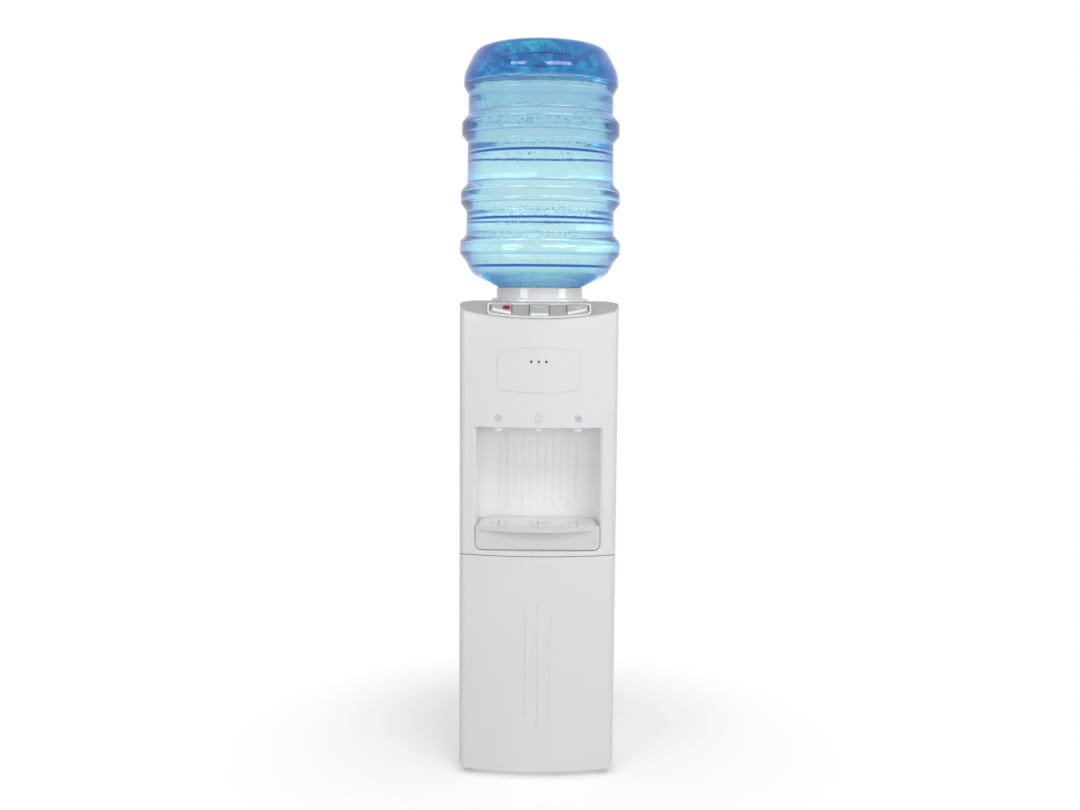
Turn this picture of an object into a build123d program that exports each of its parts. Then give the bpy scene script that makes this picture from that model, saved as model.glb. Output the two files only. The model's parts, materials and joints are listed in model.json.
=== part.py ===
"""Free-standing water cooler with an inverted bottle, as separate pieces.

Millimetres, +Z up, the front looks towards -Y, the origin is on the floor under the middle of the cooler.
"""
import math
import os

from build123d import *

os.makedirs("parts", exist_ok=True)

# Cabinet
cabinet_width = 260.0
cabinet_depth = 276.0
cabinet_height = 793.0
front_bow = 20.0
corner_radius = 14.0
wrap_length = 25.0
foot_height = 10.0
seam_drop = 417.0
seam_gap = 1.2
panel_foot_radius = 13.0
fascia_angle = 36.0
fascia_run = 40.0
cover_skirt = 23.0
cover_edge_radius = 8.0
panel_top_drop = 8.0

# Walls and sheets
front_wall = 3.0
cover_wall = 3.0
liner_wall = 2.2
sheet = 1.2
base_sheet = 1.5

# Clearances
running_gap = 0.4
seat_gap = 0.3
touch_gap = 0.1
sliding_gap = 1.0

# Lower panel grooves
groove_spacing = 20.7
groove_radius = 2.4
groove_depth = 1.1
middle_groove_low = 86.0
middle_groove_drop = 77.0
outer_groove_low = 103.0
outer_groove_drop = 98.0

# Alcove and drip tray
alcove_width = 209.0
alcove_depth = 98.0
alcove_drop = 204.5
alcove_height = 204.5
alcove_draft = 7.5
alcove_back_radius = 34.0
alcove_rim = 8.0
opening_radius = 13.0
opening_edge_radius = 2.0
rib_count = 11
rib_spacing = 12.8
rib_radius = 1.7
long_rib_foot = 55.0
long_rib_head = 17.5
short_rib_foot = 71.0
short_rib_head = 33.5
tray_height = 41.0
tray_wall = 2.5
tray_floor = 3.0
tray_lip = 6.0
tray_lip_droop = 3.3
tray_lip_margin = 6.0
tray_foot_gap = 1.5
tray_foot_depth = 6.0
tray_front_ledge = 24.0
grille_thickness = 2.5
grille_margin = 3.0
grille_ledge = 2.5
grille_slot_count = 8
grille_slot_length = 13.0
grille_slot_width = 3.6
grille_slot_radius = 15.0
grille_drain_radius = 5.0

# Taps, buttons and push rods
tap_spacing = 65.0
tap_setback = 28.0
nozzle_radius = 6.5
nozzle_bore = 4.5
nozzle_reach = 7.5
tap_neck_radius = 8.5
tap_flange_radius = 13.0
tap_flange = 2.5
tap_body_radius = 11.0
tap_body_height = 40.0
tap_roof = 3.5
tap_top_radius = 7.0
tap_top_height = 8.0
valve_chamber_radius = 8.0
valve_chamber_height = 16.0
valve_seat_radius = 4.0
valve_seat = 3.0
plug_radius = 6.0
plug_height = 6.0
plug_chamber_radius = 7.0
plug_chamber_height = 16.0
valve_stem_radius = 2.2
inlet_above_flange = 21.0
spigot_radius = 4.5
spigot_bore = 3.0
spigot_reach = 6.0
rod_radius = 3.0
rod_dip = 10.0
rod_collar_radius = 6.5
rod_collar = 3.0
spring_length = 24.0
spring_radius = 4.9
spring_wire = 1.1
spring_turns = 4
button_spacing = 62.0
button_width = 33.0
middle_button_width = 31.0
button_setback = 8.0
middle_button_depth = 22.0
side_button_inner_depth = 19.5
side_button_outer_depth = 10.0
button_corner = 2.5
side_button_corner = 5.0
button_proud = 4.0
button_skirt = 11.0
button_travel = 5.0
button_edge_radius = 0.8
pad_width = 19.0
pad_depth = 6.0
pad_height = 0.9
pad_setback = 15.0
trim_half_width = 85.0
trim_width = 3.0
trim_height = 1.4
trim_top_setback = 4.5
trim_front_margin = 5.6
trim_corner = 10.0
lock_offset = 8.5
lock_width = 11.0
lock_length = 8.0
lock_height = 4.0
lock_pocket = 2.2
lock_travel = 5.0
lock_setback = 11.0
lock_lobe_radius = 2.6
lock_lobe_height = 1.2
lock_lobe_round = 0.5
carrier_clearance = 5.0
carrier_thickness = 3.0
carrier_depth = 24.0
carrier_guide_radius = 7.0
carrier_guide_height = 7.0

# Indicator plate
badge_width = 134.5
badge_drop = 73.5
badge_height = 73.5
badge_bow = 6.0
badge_corner = 9.0
badge_depth = 1.4
lamp_drop = 96.0
lamp_spacing = 12.2
lamp_radius = 1.9
lamp_dome = 0.9
board_setback = 8.5
board_width = 72.0
board_height = 24.0
board_thickness = 1.6
board_boss_offset = 29.0
board_boss_radius = 3.5

# Bottle seat
seat_setback = 142.0
seat_flange_radius = 83.0
seat_flange = 6.0
collar_radius = 74.0
collar_wall = 4.0
collar_height = 24.0
seat_throat_radius = 38.0
seat_throat_top = 17.0
seat_cup_depth = 58.0
seat_wall = 2.2
seat_floor = 3.0
probe_radius = 8.8
probe_bore = 6.0
probe_flange_radius = 14.0
probe_flange = 3.0
probe_rise = 40.0
probe_tip = 8.0
probe_dip = 35.0

# Bottle, heights above the collar rim
bottle_wall = 1.6
neck_radius = 27.5
neck_end = -72.0
shoulder_slope = 0.5
shoulder_end_radius = 116.0
shoulder_round = 24.0
body_low = 43.0
body_low_radius = 127.5
body_high = 324.0
body_high_radius = 123.0
ring_heights = (67.0, 152.0, 267.0)
ring_rise = 10.5
ring_foot = 23.0
ring_crest = 10.0
ring_foot_round = 8.0
ring_crest_round = 9.0
base_band_low = 339.0
base_band_high = 358.0
base_band_radius = 131.0
base_height = 402.0
base_edge_radius = 108.0
base_edge_round = 24.0
base_stand_radius = 86.0
base_dish_radius = 64.0
base_dish = 17.0
water_level = 340.0
water_low = -29.0
cap_wall = 2.4
cap_skirt = 32.0
cap_end = 2.0
cap_well_radius = 10.5
cap_well_wall = 2.0
cap_well_height = 40.0

# Cold side
tank_setback = 162.0
tank_radius = 62.0
tank_wall = 1.5
tank_height = 88.0
tank_lid = 3.0
foam_radius = 84.0
foam_floor = 15.5
evaporator_tube_radius = 4.0
evaporator_turns = 4
evaporator_pitch = 9.6
evaporator_low = 20.0
evaporator_lead = 80.0
baffle_radius = 46.0
baffle_thickness = 2.0
baffle_drop = 40.0
baffle_leg_radius = 4.0
shelf_flange = 14.0
hose_radius = 4.5
hose_bore = 3.0
room_outlet_drop = 14.0
cold_outlet_rise = 9.0
cold_outlet_x = 40.0
outlet_reach = 4.0

# Hot side
hot_tank_setback = 184.0
hot_tank_drop = 403.0
hot_tank_radius = 48.0
hot_tank_height = 150.0
hot_tank_edge = 10.0
hot_tank_wall = 1.2
hot_jacket = 12.0
heater_low = 30.0
heater_height = 45.0
heater_thickness = 3.0
bracket_sheet = 2.0
bracket_half_width = 66.0
bracket_flange = 30.0
hot_stub_radius = 4.5
hot_stub = 14.0
hot_outlet_x = -26.0
hot_feed_x = 26.0
thermostat_radius = 8.0
thermostat_height = 9.0
thermostat_spread = 16.0
drain_bend = 14.0

# Cooling unit
compressor_setback = 184.0
compressor_radius = 54.0
compressor_height = 132.0
compressor_lift = 15.0
compressor_seam = 3.0
compressor_seam_height = 68.0
compressor_dome = 24.0
compressor_foot_x = 68.0
compressor_foot_y = 44.0
compressor_foot_half = 13.0
compressor_foot_sheet = 3.0
grommet_radius = 10.0
mount_bolt_radius = 3.0
mount_nut_radius = 6.0
mount_nut = 5.0
terminal_width = 40.0
terminal_height = 46.0
terminal_depth = 22.0
terminal_rise = 44.0
pipe_radius = 3.0
pipe_bend = 12.0
suction_rise = 92.0
discharge_rise = 36.0
stub_length = 14.0
condenser_drop = 48.0
condenser_height = 400.0
condenser_passes = 9
condenser_half_width = 100.0
condenser_lead = 12.0
condenser_tube_radius = 2.4
condenser_standoff = 18.0
wire_radius = 0.8
wire_count = 22
wire_margin = 6.0
bracket_post_radius = 5.0
drier_radius = 8.0
drier_length = 70.0
drier_clearance = 5.0
drier_neck = 10.0
capillary_radius = 1.5

# Back of the cabinet
back_panel_margin = 35.0
vent_count = 8
vent_spacing = 12.0
vent_length = 120.0
vent_width = 4.0
vent_drop = 233.0
service_drop = 108.0
switch_spacing = 34.0
switch_x = -58.0
switch_width = 22.0
switch_height = 30.0
switch_body_width = 19.0
switch_body_height = 27.0
switch_depth = 20.0
switch_bezel = 2.0
rocker_width = 14.0
rocker_height = 22.0
rocker_tilt = 10.0
rocker_gap = 0.9
rocker_pin_radius = 1.2
rocker_pin_reach = 1.2
inlet_x = -58.0
inlet_drop = 42.0
inlet_width = 32.0
inlet_height = 24.0
inlet_depth = 18.0
inlet_flange = 3.0
inlet_well = 14.0
inlet_pin_width = 2.0
inlet_pin_height = 4.0
inlet_pin_spacing = 7.0
inlet_pin_offset = 2.0
inlet_ear_spacing = 40.0
drain_spacing = 60.0
drain_x = 12.0
drain_flange_radius = 13.0
drain_flange = 3.0
drain_thread_radius = 8.0
drain_reach = 15.0
drain_cap_radius = 12.0
drain_cap_height = 13.0
drain_cap_grips = 12
drain_cap_grip_radius = 1.2

# Feet and screws
foot_radius = 14.0
foot_toe_radius = 11.0
foot_stud_radius = 4.0
foot_stud = 12.0
foot_inset_x = 26.0
foot_inset_y = 22.0
base_flange = 18.0
tongue_length = 13.0
rear_flange = 14.0
screw_radius = 4.0
screw_head = 2.2
screw_inset = 9.0

# Places worked out from the sizes above
condenser_reach = condenser_standoff + condenser_tube_radius + 2 * wire_radius + touch_gap
front_y = -(cabinet_depth + condenser_reach) / 2
back_y = front_y + cabinet_depth
back_inner_y = back_y - sheet
side_x = cabinet_width / 2
side_inner_x = side_x - sheet
bow_radius = (front_bow**2 + side_x**2) / (2 * front_bow)
wrap_y = front_y + front_bow + wrap_length
ridge_y = front_y + fascia_run
fascia_sin = math.sin(math.radians(fascia_angle))
fascia_cos = math.cos(math.radians(fascia_angle))
fascia_tan = fascia_sin / fascia_cos
skirt_low = cabinet_height - cover_skirt
panel_top = cabinet_height - panel_top_drop
seam_height = cabinet_height - seam_drop
middle_groove = (middle_groove_low, seam_height - middle_groove_drop)
outer_groove = (outer_groove_low, seam_height - outer_groove_drop)
alcove_top = cabinet_height - alcove_drop
opening_low = alcove_top - alcove_height
long_rib = (opening_low + long_rib_foot, alcove_top - long_rib_head)
short_rib = (opening_low + short_rib_foot, alcove_top - short_rib_head)
badge_high = cabinet_height - badge_drop
badge_low = badge_high - badge_height
lamp_height = cabinet_height - lamp_drop
hot_tank_low = cabinet_height - hot_tank_drop
service_level = hot_tank_low - service_drop
inlet_level = service_level - inlet_drop
back_panel_low = inlet_level - back_panel_margin
drier_level = back_panel_low - drier_clearance
condenser_high = cabinet_height - condenser_drop
condenser_low = condenser_high - condenser_height
vent_low = cabinet_height - vent_drop
reach = 2 * cabinet_height
alcove_half = alcove_width / 2
alcove_back_y = front_y + alcove_depth
ceiling_top = alcove_top + liner_wall
tap_y = front_y + tap_setback
tap_places = {"hot": -tap_spacing, "room": 0.0, "cold": tap_spacing}
tap_body_low = ceiling_top + tap_flange
tap_body_high = tap_body_low + tap_body_height
tap_high = tap_body_high + tap_top_height
chamber_high = tap_body_high - tap_roof
valve_seat_high = chamber_high - valve_chamber_height
valve_seat_low = valve_seat_high - valve_seat
rod_low = tap_high - rod_dip
spring_high = tap_high + spring_length
inlet_z = tap_body_low + inlet_above_flange
spigot_end_y = tap_y + tap_body_radius + spigot_reach
button_back_y = ridge_y - button_setback
button_front_y = button_back_y - middle_button_depth
button_low = cabinet_height - (ridge_y - button_front_y) * fascia_tan - button_skirt
bottle_y = front_y + seat_setback
rim_z = cabinet_height + collar_height
cup_low = cabinet_height - seat_cup_depth
seat_bottom = cup_low - seat_floor
tank_y = front_y + tank_setback
tank_high = seat_bottom - tank_lid
tank_low = tank_high - tank_height
shelf_high = tank_low - foam_floor
shelf_low = shelf_high - base_sheet
shelf_front_y = tank_y - foam_radius
evaporator_radius = tank_radius + seat_gap + evaporator_tube_radius
foam_inner_radius = evaporator_radius + evaporator_tube_radius + running_gap
evaporator_z = tank_low + evaporator_low
evaporator_back_y = tank_y + evaporator_radius
hot_y = front_y + hot_tank_setback
hot_high = hot_tank_low + hot_tank_height
jacket_radius = hot_tank_radius + hot_jacket
base_top = foot_height + base_sheet
compressor_y = front_y + compressor_setback
compressor_low = base_top + compressor_lift
condenser_y = back_y + condenser_standoff
condenser_pitch = (condenser_high - condenser_low) / (condenser_passes - 1)
condenser_lead_x = -(condenser_half_width + condenser_lead)
tray_high = opening_low + tray_height
pieces = {}


def face_y(x):
    """Outside of the bowed front at a distance x from the middle."""
    return front_y + bow_radius - math.sqrt(bow_radius**2 - x**2)


def plan_outline(inset=0.0):
    """Cabinet seen from above: bowed front, rounded front corners, square back."""
    with BuildSketch(mode=Mode.PRIVATE) as outline:
        with BuildLine():
            bow = ThreePointArc((-side_x, front_y + front_bow), (0, front_y), (side_x, front_y + front_bow))
            Polyline(bow @ 1, (side_x, back_y), (-side_x, back_y), bow @ 0)
        make_face()
        fillet(outline.vertices().sort_by(Axis.Y)[:2], corner_radius)
        if inset > 0:
            offset(amount=-inset)
    return outline.sketch


def front_strip(outer, inner, half_width=cabinet_width):
    """Bowed strip of the front between two depths below its outside, as far back as the panels wrap."""
    outside = plan_outline(outer)
    inside = plan_outline(inner)
    with BuildSketch(mode=Mode.PRIVATE) as strip:
        add(outside)
        add(inside, mode=Mode.SUBTRACT)
        with Locations((0, wrap_y)):
            Rectangle(2 * half_width, cabinet_depth, align=(Align.CENTER, Align.MAX), mode=Mode.INTERSECT)
    return strip.sketch


def front_shape(half_width, low, high, low_radius, high_radius):
    """Upright rectangle seen from the front, with its own corner radius below and above."""
    with BuildSketch(Plane.XZ, mode=Mode.PRIVATE) as shape:
        with Locations((0, (low + high) / 2)):
            Rectangle(2 * half_width, high - low)
        fillet(shape.vertices().group_by(Axis.Y)[0], low_radius)
        fillet(shape.vertices().group_by(Axis.Y)[-1], high_radius)
    return shape.sketch


def above_top(drop):
    """Side view of the space above the top of the cabinet and its sloping fascia, lowered by drop."""
    fold = ridge_y + drop * math.tan(math.radians(fascia_angle) / 2)
    level = cabinet_height - drop
    with BuildSketch(Plane.YZ, mode=Mode.PRIVATE) as space:
        with BuildLine():
            Polyline(
                (fold - reach, level - reach * fascia_tan),
                (fold, level),
                (fold + reach, level),
                (fold + reach, level + reach),
                (fold - reach, level + reach),
                close=True,
            )
        make_face()
    return space.sketch


def alcove_plan(grow):
    """Alcove seen from above, drafted sides and a rounded back, grown outwards by grow."""
    with BuildSketch(mode=Mode.PRIVATE) as plan:
        with BuildLine():
            Polyline(
                (-alcove_half - grow, front_y),
                (-alcove_half + alcove_draft - grow, alcove_back_y + grow),
                (alcove_half - alcove_draft + grow, alcove_back_y + grow),
                (alcove_half + grow, front_y),
                close=True,
            )
        make_face()
        fillet(plan.vertices().group_by(Axis.Y)[-1], alcove_back_radius + grow)
    return plan.sketch


def badge_shape(grow):
    """Indicator plate seen from the front, with bowed upper and lower edges."""
    half = badge_width / 2 + grow
    with BuildSketch(Plane.XZ, mode=Mode.PRIVATE) as shape:
        with BuildLine():
            upper = ThreePointArc(
                (-half, badge_high - badge_bow + grow), (0, badge_high + grow), (half, badge_high - badge_bow + grow)
            )
            lower = ThreePointArc(
                (-half, badge_low + badge_bow - grow), (0, badge_low - grow), (half, badge_low + badge_bow - grow)
            )
            Line(upper @ 0, lower @ 0)
            Line(upper @ 1, lower @ 1)
        make_face()
        fillet(shape.vertices(), badge_corner + grow)
    return shape.sketch


def button_shape(side, grow):
    """Button seen from above: the middle one is square, the outer ones taper with the fascia."""
    with BuildSketch(mode=Mode.PRIVATE) as shape:
        if side == 0:
            with Locations((0, button_back_y - middle_button_depth / 2)):
                RectangleRounded(middle_button_width, middle_button_depth, button_corner)
        else:
            inner_x = side * (button_spacing - button_width / 2)
            outer_x = side * (button_spacing + button_width / 2)
            with BuildLine():
                Polyline(
                    (inner_x, button_back_y),
                    (outer_x, button_back_y),
                    (outer_x, button_back_y - side_button_outer_depth),
                    (inner_x, button_back_y - side_button_inner_depth),
                    close=True,
                )
            make_face()
            corners = shape.vertices().sort_by(Axis.X)
            outer = corners[:2] if side < 0 else corners[2:]
            fillet(outer, side_button_corner)
            inner = [v for v in shape.vertices() if abs(v.X - inner_x) < touch_gap]
            fillet(inner, button_corner)
        if grow > 0:
            offset(amount=grow)
    return shape.sketch


def upright(x, y):
    """Plane for the profile of a piece turned about an upright axis."""
    return Plane(origin=(x, y, 0), x_dir=(1, 0, 0), z_dir=(0, -1, 0))


def to_back(x, y, z):
    """Plane that looks to the back, with its own height upwards."""
    return Plane(origin=(x, y, z), x_dir=(-1, 0, 0), z_dir=(0, 1, 0))


def to_front(x, y, z):
    """Plane that looks to the front, with its own height upwards."""
    return Plane(origin=(x, y, z), x_dir=(1, 0, 0), z_dir=(0, -1, 0))


def turned(points, x, y):
    """Piece turned about an upright axis from an outline of radius and height pairs."""
    with BuildPart() as piece:
        with BuildSketch(upright(x, y)):
            with BuildLine():
                Polyline(*points, close=True)
            make_face()
        revolve(axis=Axis((x, y, 0), (0, 0, 1)))
    return piece.part


def tube(points, bend, radius, bore=0.0):
    """Round tube along straight runs joined by tangent bends."""
    with BuildPart() as piece:
        with BuildLine() as path:
            FilletPolyline(*points, radius=bend)
        with BuildSketch(Plane(origin=path.line @ 0, z_dir=path.line % 0)):
            Circle(radius)
            if bore > 0:
                Circle(bore, mode=Mode.SUBTRACT)
        sweep(path=path.line)
    return piece.part


def winding(x, y, low, radius, pitch, turns):
    """Points and directions of a winding, one for each eighth of a turn, from the back and anticlockwise."""
    stations = []
    for step in range(8 * turns + 1):
        angle = math.pi / 2 + step * math.pi / 4
        place = Vector(x + radius * math.cos(angle), y + radius * math.sin(angle), low + pitch * step / 8)
        along = Vector(-math.sin(angle), math.cos(angle), pitch / (2 * math.pi * radius)).normalized()
        stations.append((place, along))
    return stations


def wind(stations):
    """Pairs of tangent arcs through the stations, to be called while a line is being built."""
    for (start, start_along), (end, end_along) in zip(stations, stations[1:]):
        span = end - start
        both = start_along + end_along
        bend = 2 * (1 - start_along.dot(end_along))
        lean = span.dot(both)
        arm = (math.sqrt(lean**2 + bend * span.dot(span)) - lean) / bend
        middle = (start + start_along * arm + end - end_along * arm) * 0.5
        first = TangentArc(start, middle, tangent=start_along)
        TangentArc(middle, end, tangent=first % 1)


# Base plate: a folded tray with holes for the four feet, and a tongue under the lower front panel
foot_places = [
    (side * (side_x - foot_inset_x), y)
    for side in (-1, 1)
    for y in (wrap_y + foot_inset_y, back_y - foot_inset_y)
]
mount_places = [
    (sx * compressor_foot_x, compressor_y + sy * compressor_foot_y) for sx in (-1, 1) for sy in (-1, 1)
]
base_front_y = wrap_y + sheet
base_length = back_inner_y - sheet - base_front_y
base_middle_y = base_front_y + base_length / 2
with BuildPart() as base_plate:
    with BuildSketch(Plane.XY.offset(foot_height)):
        with Locations((0, base_middle_y)):
            Rectangle(2 * side_inner_x, base_length)
    extrude(amount=base_flange)
    with BuildSketch(Plane.XY.offset(base_top)):
        with Locations((0, base_middle_y)):
            Rectangle(2 * (side_inner_x - base_sheet), base_length - 2 * base_sheet)
    extrude(amount=base_flange, mode=Mode.SUBTRACT)
    with BuildSketch(Plane.XY.offset(foot_height)):
        add(plan_outline(front_wall + seat_gap))
        with Locations((0, base_front_y)):
            Rectangle(
                2 * (side_x - 2 * panel_foot_radius),
                cabinet_depth,
                align=(Align.CENTER, Align.MAX),
                mode=Mode.INTERSECT,
            )
    extrude(amount=base_sheet)
    with BuildSketch(Plane.XY.offset(foot_height)):
        with Locations(*foot_places):
            Circle(foot_stud_radius + seat_gap)
    extrude(amount=base_sheet, mode=Mode.SUBTRACT)
pieces["base_plate"] = base_plate.part

# Feet: four moulded feet with their studs
foot_profile = [
    (0, 0),
    (foot_toe_radius, 0),
    (foot_radius, foot_height),
    (foot_stud_radius, foot_height),
    (foot_stud_radius, foot_height + foot_stud),
    (0, foot_height + foot_stud),
]
single_feet = [turned(foot_profile, x, y) for x, y in foot_places]
with BuildPart() as feet:
    add(single_feet)
pieces["feet"] = feet.part


def side_panel(side):
    """Folded side sheet: a tongue behind the front panels, a flat side and a flange at the back."""
    with BuildPart() as panel:
        with BuildSketch(Plane.XY.offset(foot_height)):
            with BuildLine():
                Polyline(
                    (side * side_x, back_inner_y),
                    (side * side_x, wrap_y),
                    (side * (side_x - front_wall), wrap_y),
                    (side * (side_x - front_wall), wrap_y - tongue_length),
                    (side * (side_x - front_wall - sheet), wrap_y - tongue_length),
                    (side * (side_x - front_wall - sheet), wrap_y + sheet),
                    (side * side_inner_x, wrap_y + sheet),
                    (side * side_inner_x, back_inner_y - sheet),
                    (side * (side_x - rear_flange), back_inner_y - sheet),
                    (side * (side_x - rear_flange), back_inner_y),
                    close=True,
                )
            make_face()
        extrude(amount=skirt_low - foot_height)
    return panel.part


pieces["left_side_panel"] = side_panel(-1)
pieces["right_side_panel"] = side_panel(1)

# Lower front panel: bowed shell with rounded lower corners and three upright grooves
with BuildPart() as lower_front_panel:
    with BuildSketch(Plane.XY.offset(foot_height)):
        add(front_strip(0, front_wall))
    extrude(amount=seam_height - seam_gap / 2 - foot_height)
    with BuildSketch(Plane.XZ):
        add(front_shape(side_x, foot_height, seam_height + panel_foot_radius, panel_foot_radius, 1))
    extrude(amount=cabinet_depth, both=True, mode=Mode.INTERSECT)
    for offset_x, (groove_low, groove_high) in (
        (-groove_spacing, outer_groove),
        (0, middle_groove),
        (groove_spacing, outer_groove),
    ):
        with BuildSketch(Plane.XY.offset(groove_low)):
            with Locations((offset_x, face_y(offset_x) + groove_depth - groove_radius)):
                Circle(groove_radius)
        extrude(amount=groove_high - groove_low, mode=Mode.SUBTRACT)
pieces["lower_front_panel"] = lower_front_panel.part

# Indicator plate, and the recess in the front panel that it lies in
lamp_places = (-lamp_spacing, 0.0, lamp_spacing)
with BuildPart() as badge_recess:
    with BuildSketch(Plane.XY.offset(badge_low - badge_corner)):
        add(front_strip(0, badge_depth))
    extrude(amount=badge_high - badge_low + 2 * badge_corner)
    extrude(badge_shape(seat_gap), amount=cabinet_depth, both=True, mode=Mode.INTERSECT)
with BuildPart() as badge_panel:
    with BuildSketch(Plane.XY.offset(badge_low - badge_corner)):
        add(front_strip(0, badge_depth - 2 * touch_gap))
    extrude(amount=badge_high - badge_low + 2 * badge_corner)
    extrude(badge_shape(0), amount=cabinet_depth, both=True, mode=Mode.INTERSECT)
    with BuildSketch(Plane.XZ):
        with Locations(*[(x, lamp_height) for x in lamp_places]):
            Circle(lamp_radius + seat_gap)
    extrude(amount=cabinet_depth, mode=Mode.SUBTRACT)
pieces["badge_panel"] = badge_panel.part

# Upper front panel: shell with the alcove opening, the plate recess and two bosses for the lamp board
board_y = front_y + board_setback
with BuildPart() as upper_front_panel:
    with BuildSketch(Plane.XY.offset(seam_height + seam_gap / 2)):
        add(front_strip(0, front_wall))
    extrude(amount=panel_top - seam_height - seam_gap / 2)
    extrude(above_top(0), amount=cabinet_width, both=True, mode=Mode.SUBTRACT)
    opening = front_shape(alcove_half, opening_low, alcove_top, opening_radius, opening_edge_radius)
    extrude(opening, amount=cabinet_depth, both=True, mode=Mode.SUBTRACT)
    rim_edges = [
        edge
        for edge in upper_front_panel.edges()
        if opening_low - touch_gap < edge.center().Z < alcove_top + touch_gap
        and abs(edge.center().X) < alcove_half + touch_gap
        and edge.center().Y < face_y(edge.center().X) + front_wall / 2
    ]
    fillet(rim_edges, opening_edge_radius)
    with BuildSketch(Plane.XZ.offset(-board_y)):
        with Locations((-board_boss_offset, lamp_height), (board_boss_offset, lamp_height)):
            Circle(board_boss_radius)
    extrude(amount=board_setback - front_wall / 2)
    add(badge_recess.part, mode=Mode.SUBTRACT)
    with BuildSketch(Plane.XZ):
        with Locations(*[(x, lamp_height) for x in lamp_places]):
            Circle(lamp_radius + seat_gap)
    extrude(amount=cabinet_depth, mode=Mode.SUBTRACT)
pieces["upper_front_panel"] = upper_front_panel.part

# Lamps: three lens rods from the board through the plate, each with a domed tip
with BuildPart() as indicator_lamps:
    with BuildSketch(Plane.XZ.offset(-board_y)):
        with Locations(*[(x, lamp_height) for x in lamp_places]):
            Circle(lamp_radius)
    extrude(amount=board_setback)
    fillet(indicator_lamps.edges().group_by(Axis.Y)[0], lamp_dome)
pieces["indicator_lamps"] = indicator_lamps.part

# Lamp board
with BuildPart() as indicator_board:
    with BuildSketch(Plane.XZ.offset(-board_y)):
        with Locations((0, lamp_height)):
            Rectangle(board_width, board_height)
    extrude(amount=-board_thickness)
pieces["indicator_board"] = indicator_board.part

# Alcove liner: drafted tub with a ribbed back, a bowed rim behind the front panel and holes for the taps
with BuildPart() as alcove_liner:
    with BuildSketch(Plane.XY.offset(opening_low - liner_wall)):
        add(alcove_plan(liner_wall))
    extrude(amount=alcove_top - opening_low + 2 * liner_wall)
    with BuildSketch(Plane.XY.offset(opening_low - alcove_rim)):
        add(front_strip(front_wall, front_wall + liner_wall, alcove_half + alcove_rim))
    extrude(amount=alcove_top - opening_low + 2 * alcove_rim)
    with BuildSketch(Plane.XY.offset(opening_low)):
        add(alcove_plan(0))
    extrude(amount=alcove_top - opening_low, mode=Mode.SUBTRACT)
    for rib in range(rib_count):
        rib_low, rib_high = long_rib if rib % 2 else short_rib
        with BuildSketch(Plane.XY.offset(rib_low)):
            with Locations(((rib - (rib_count - 1) / 2) * rib_spacing, alcove_back_y)):
                Circle(rib_radius)
        extrude(amount=rib_high - rib_low)
    with BuildSketch(Plane.XY.offset(opening_low - alcove_rim)):
        add(plan_outline(front_wall))
    extrude(amount=alcove_top - opening_low + 2 * alcove_rim, mode=Mode.INTERSECT)
    with BuildSketch(Plane.XY.offset(alcove_top)):
        with Locations(*[(x, tap_y) for x in tap_places.values()]):
            Circle(tap_neck_radius + seat_gap)
    extrude(amount=liner_wall, mode=Mode.SUBTRACT)
pieces["alcove_liner"] = alcove_liner.part

# Drip tray: drawer with a flat front set back under a bowed lip, a basin and a ledge for the grille
tray_half = alcove_half - sliding_gap
lip_low = tray_high - tray_lip
tray_face_y = face_y(tray_half - tray_lip_margin)
basin_front_y = front_y + tray_front_ledge
tray_inside = alcove_plan(0)
tray_view = front_shape(tray_half, opening_low, tray_high + opening_radius, opening_radius, 1)
foot_view = front_shape(alcove_half, opening_low + tray_foot_gap, tray_high + opening_radius, opening_radius, 1)
with BuildPart() as tray_foot:
    with BuildSketch(Plane.XZ.offset(-tray_face_y - tray_foot_depth)):
        with Locations((0, opening_low)):
            Rectangle(alcove_width, 2 * opening_radius)
        add(foot_view, mode=Mode.SUBTRACT)
    extrude(amount=cabinet_depth)
with BuildPart() as drip_tray:
    with BuildSketch(Plane.XY.offset(opening_low)):
        add(tray_inside)
        offset(amount=-sliding_gap)
        with Locations((0, front_y)):
            Rectangle(2 * tray_half, 2 * sliding_gap)
        add(plan_outline(), mode=Mode.INTERSECT)
    extrude(amount=tray_height)
    extrude(tray_view, amount=cabinet_depth, both=True, mode=Mode.INTERSECT)
    add(tray_foot.part, mode=Mode.SUBTRACT)
    with BuildSketch(Plane.XZ.offset(-tray_face_y)):
        with BuildLine():
            brow = ThreePointArc((-alcove_half, lip_low), (0, lip_low - tray_lip_droop), (alcove_half, lip_low))
            Polyline(brow @ 1, (alcove_half, opening_low), (-alcove_half, opening_low), brow @ 0)
        make_face()
    extrude(amount=cabinet_depth, mode=Mode.SUBTRACT)
    with BuildSketch(Plane.XY.offset(opening_low + tray_floor)):
        add(tray_inside)
        offset(amount=-sliding_gap - tray_wall - grille_ledge)
        with Locations((0, basin_front_y)):
            Rectangle(alcove_width, alcove_depth, align=(Align.CENTER, Align.MIN), mode=Mode.INTERSECT)
        fillet(vertices().group_by(Axis.Y)[0], opening_radius)
    extrude(amount=tray_height, mode=Mode.SUBTRACT)
    with BuildSketch(Plane.XY.offset(tray_high - grille_thickness)):
        add(tray_inside)
        offset(amount=-sliding_gap - grille_margin)
        add(plan_outline(grille_margin), mode=Mode.INTERSECT)
    extrude(amount=tray_height, mode=Mode.SUBTRACT)
pieces["drip_tray"] = drip_tray.part

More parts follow.
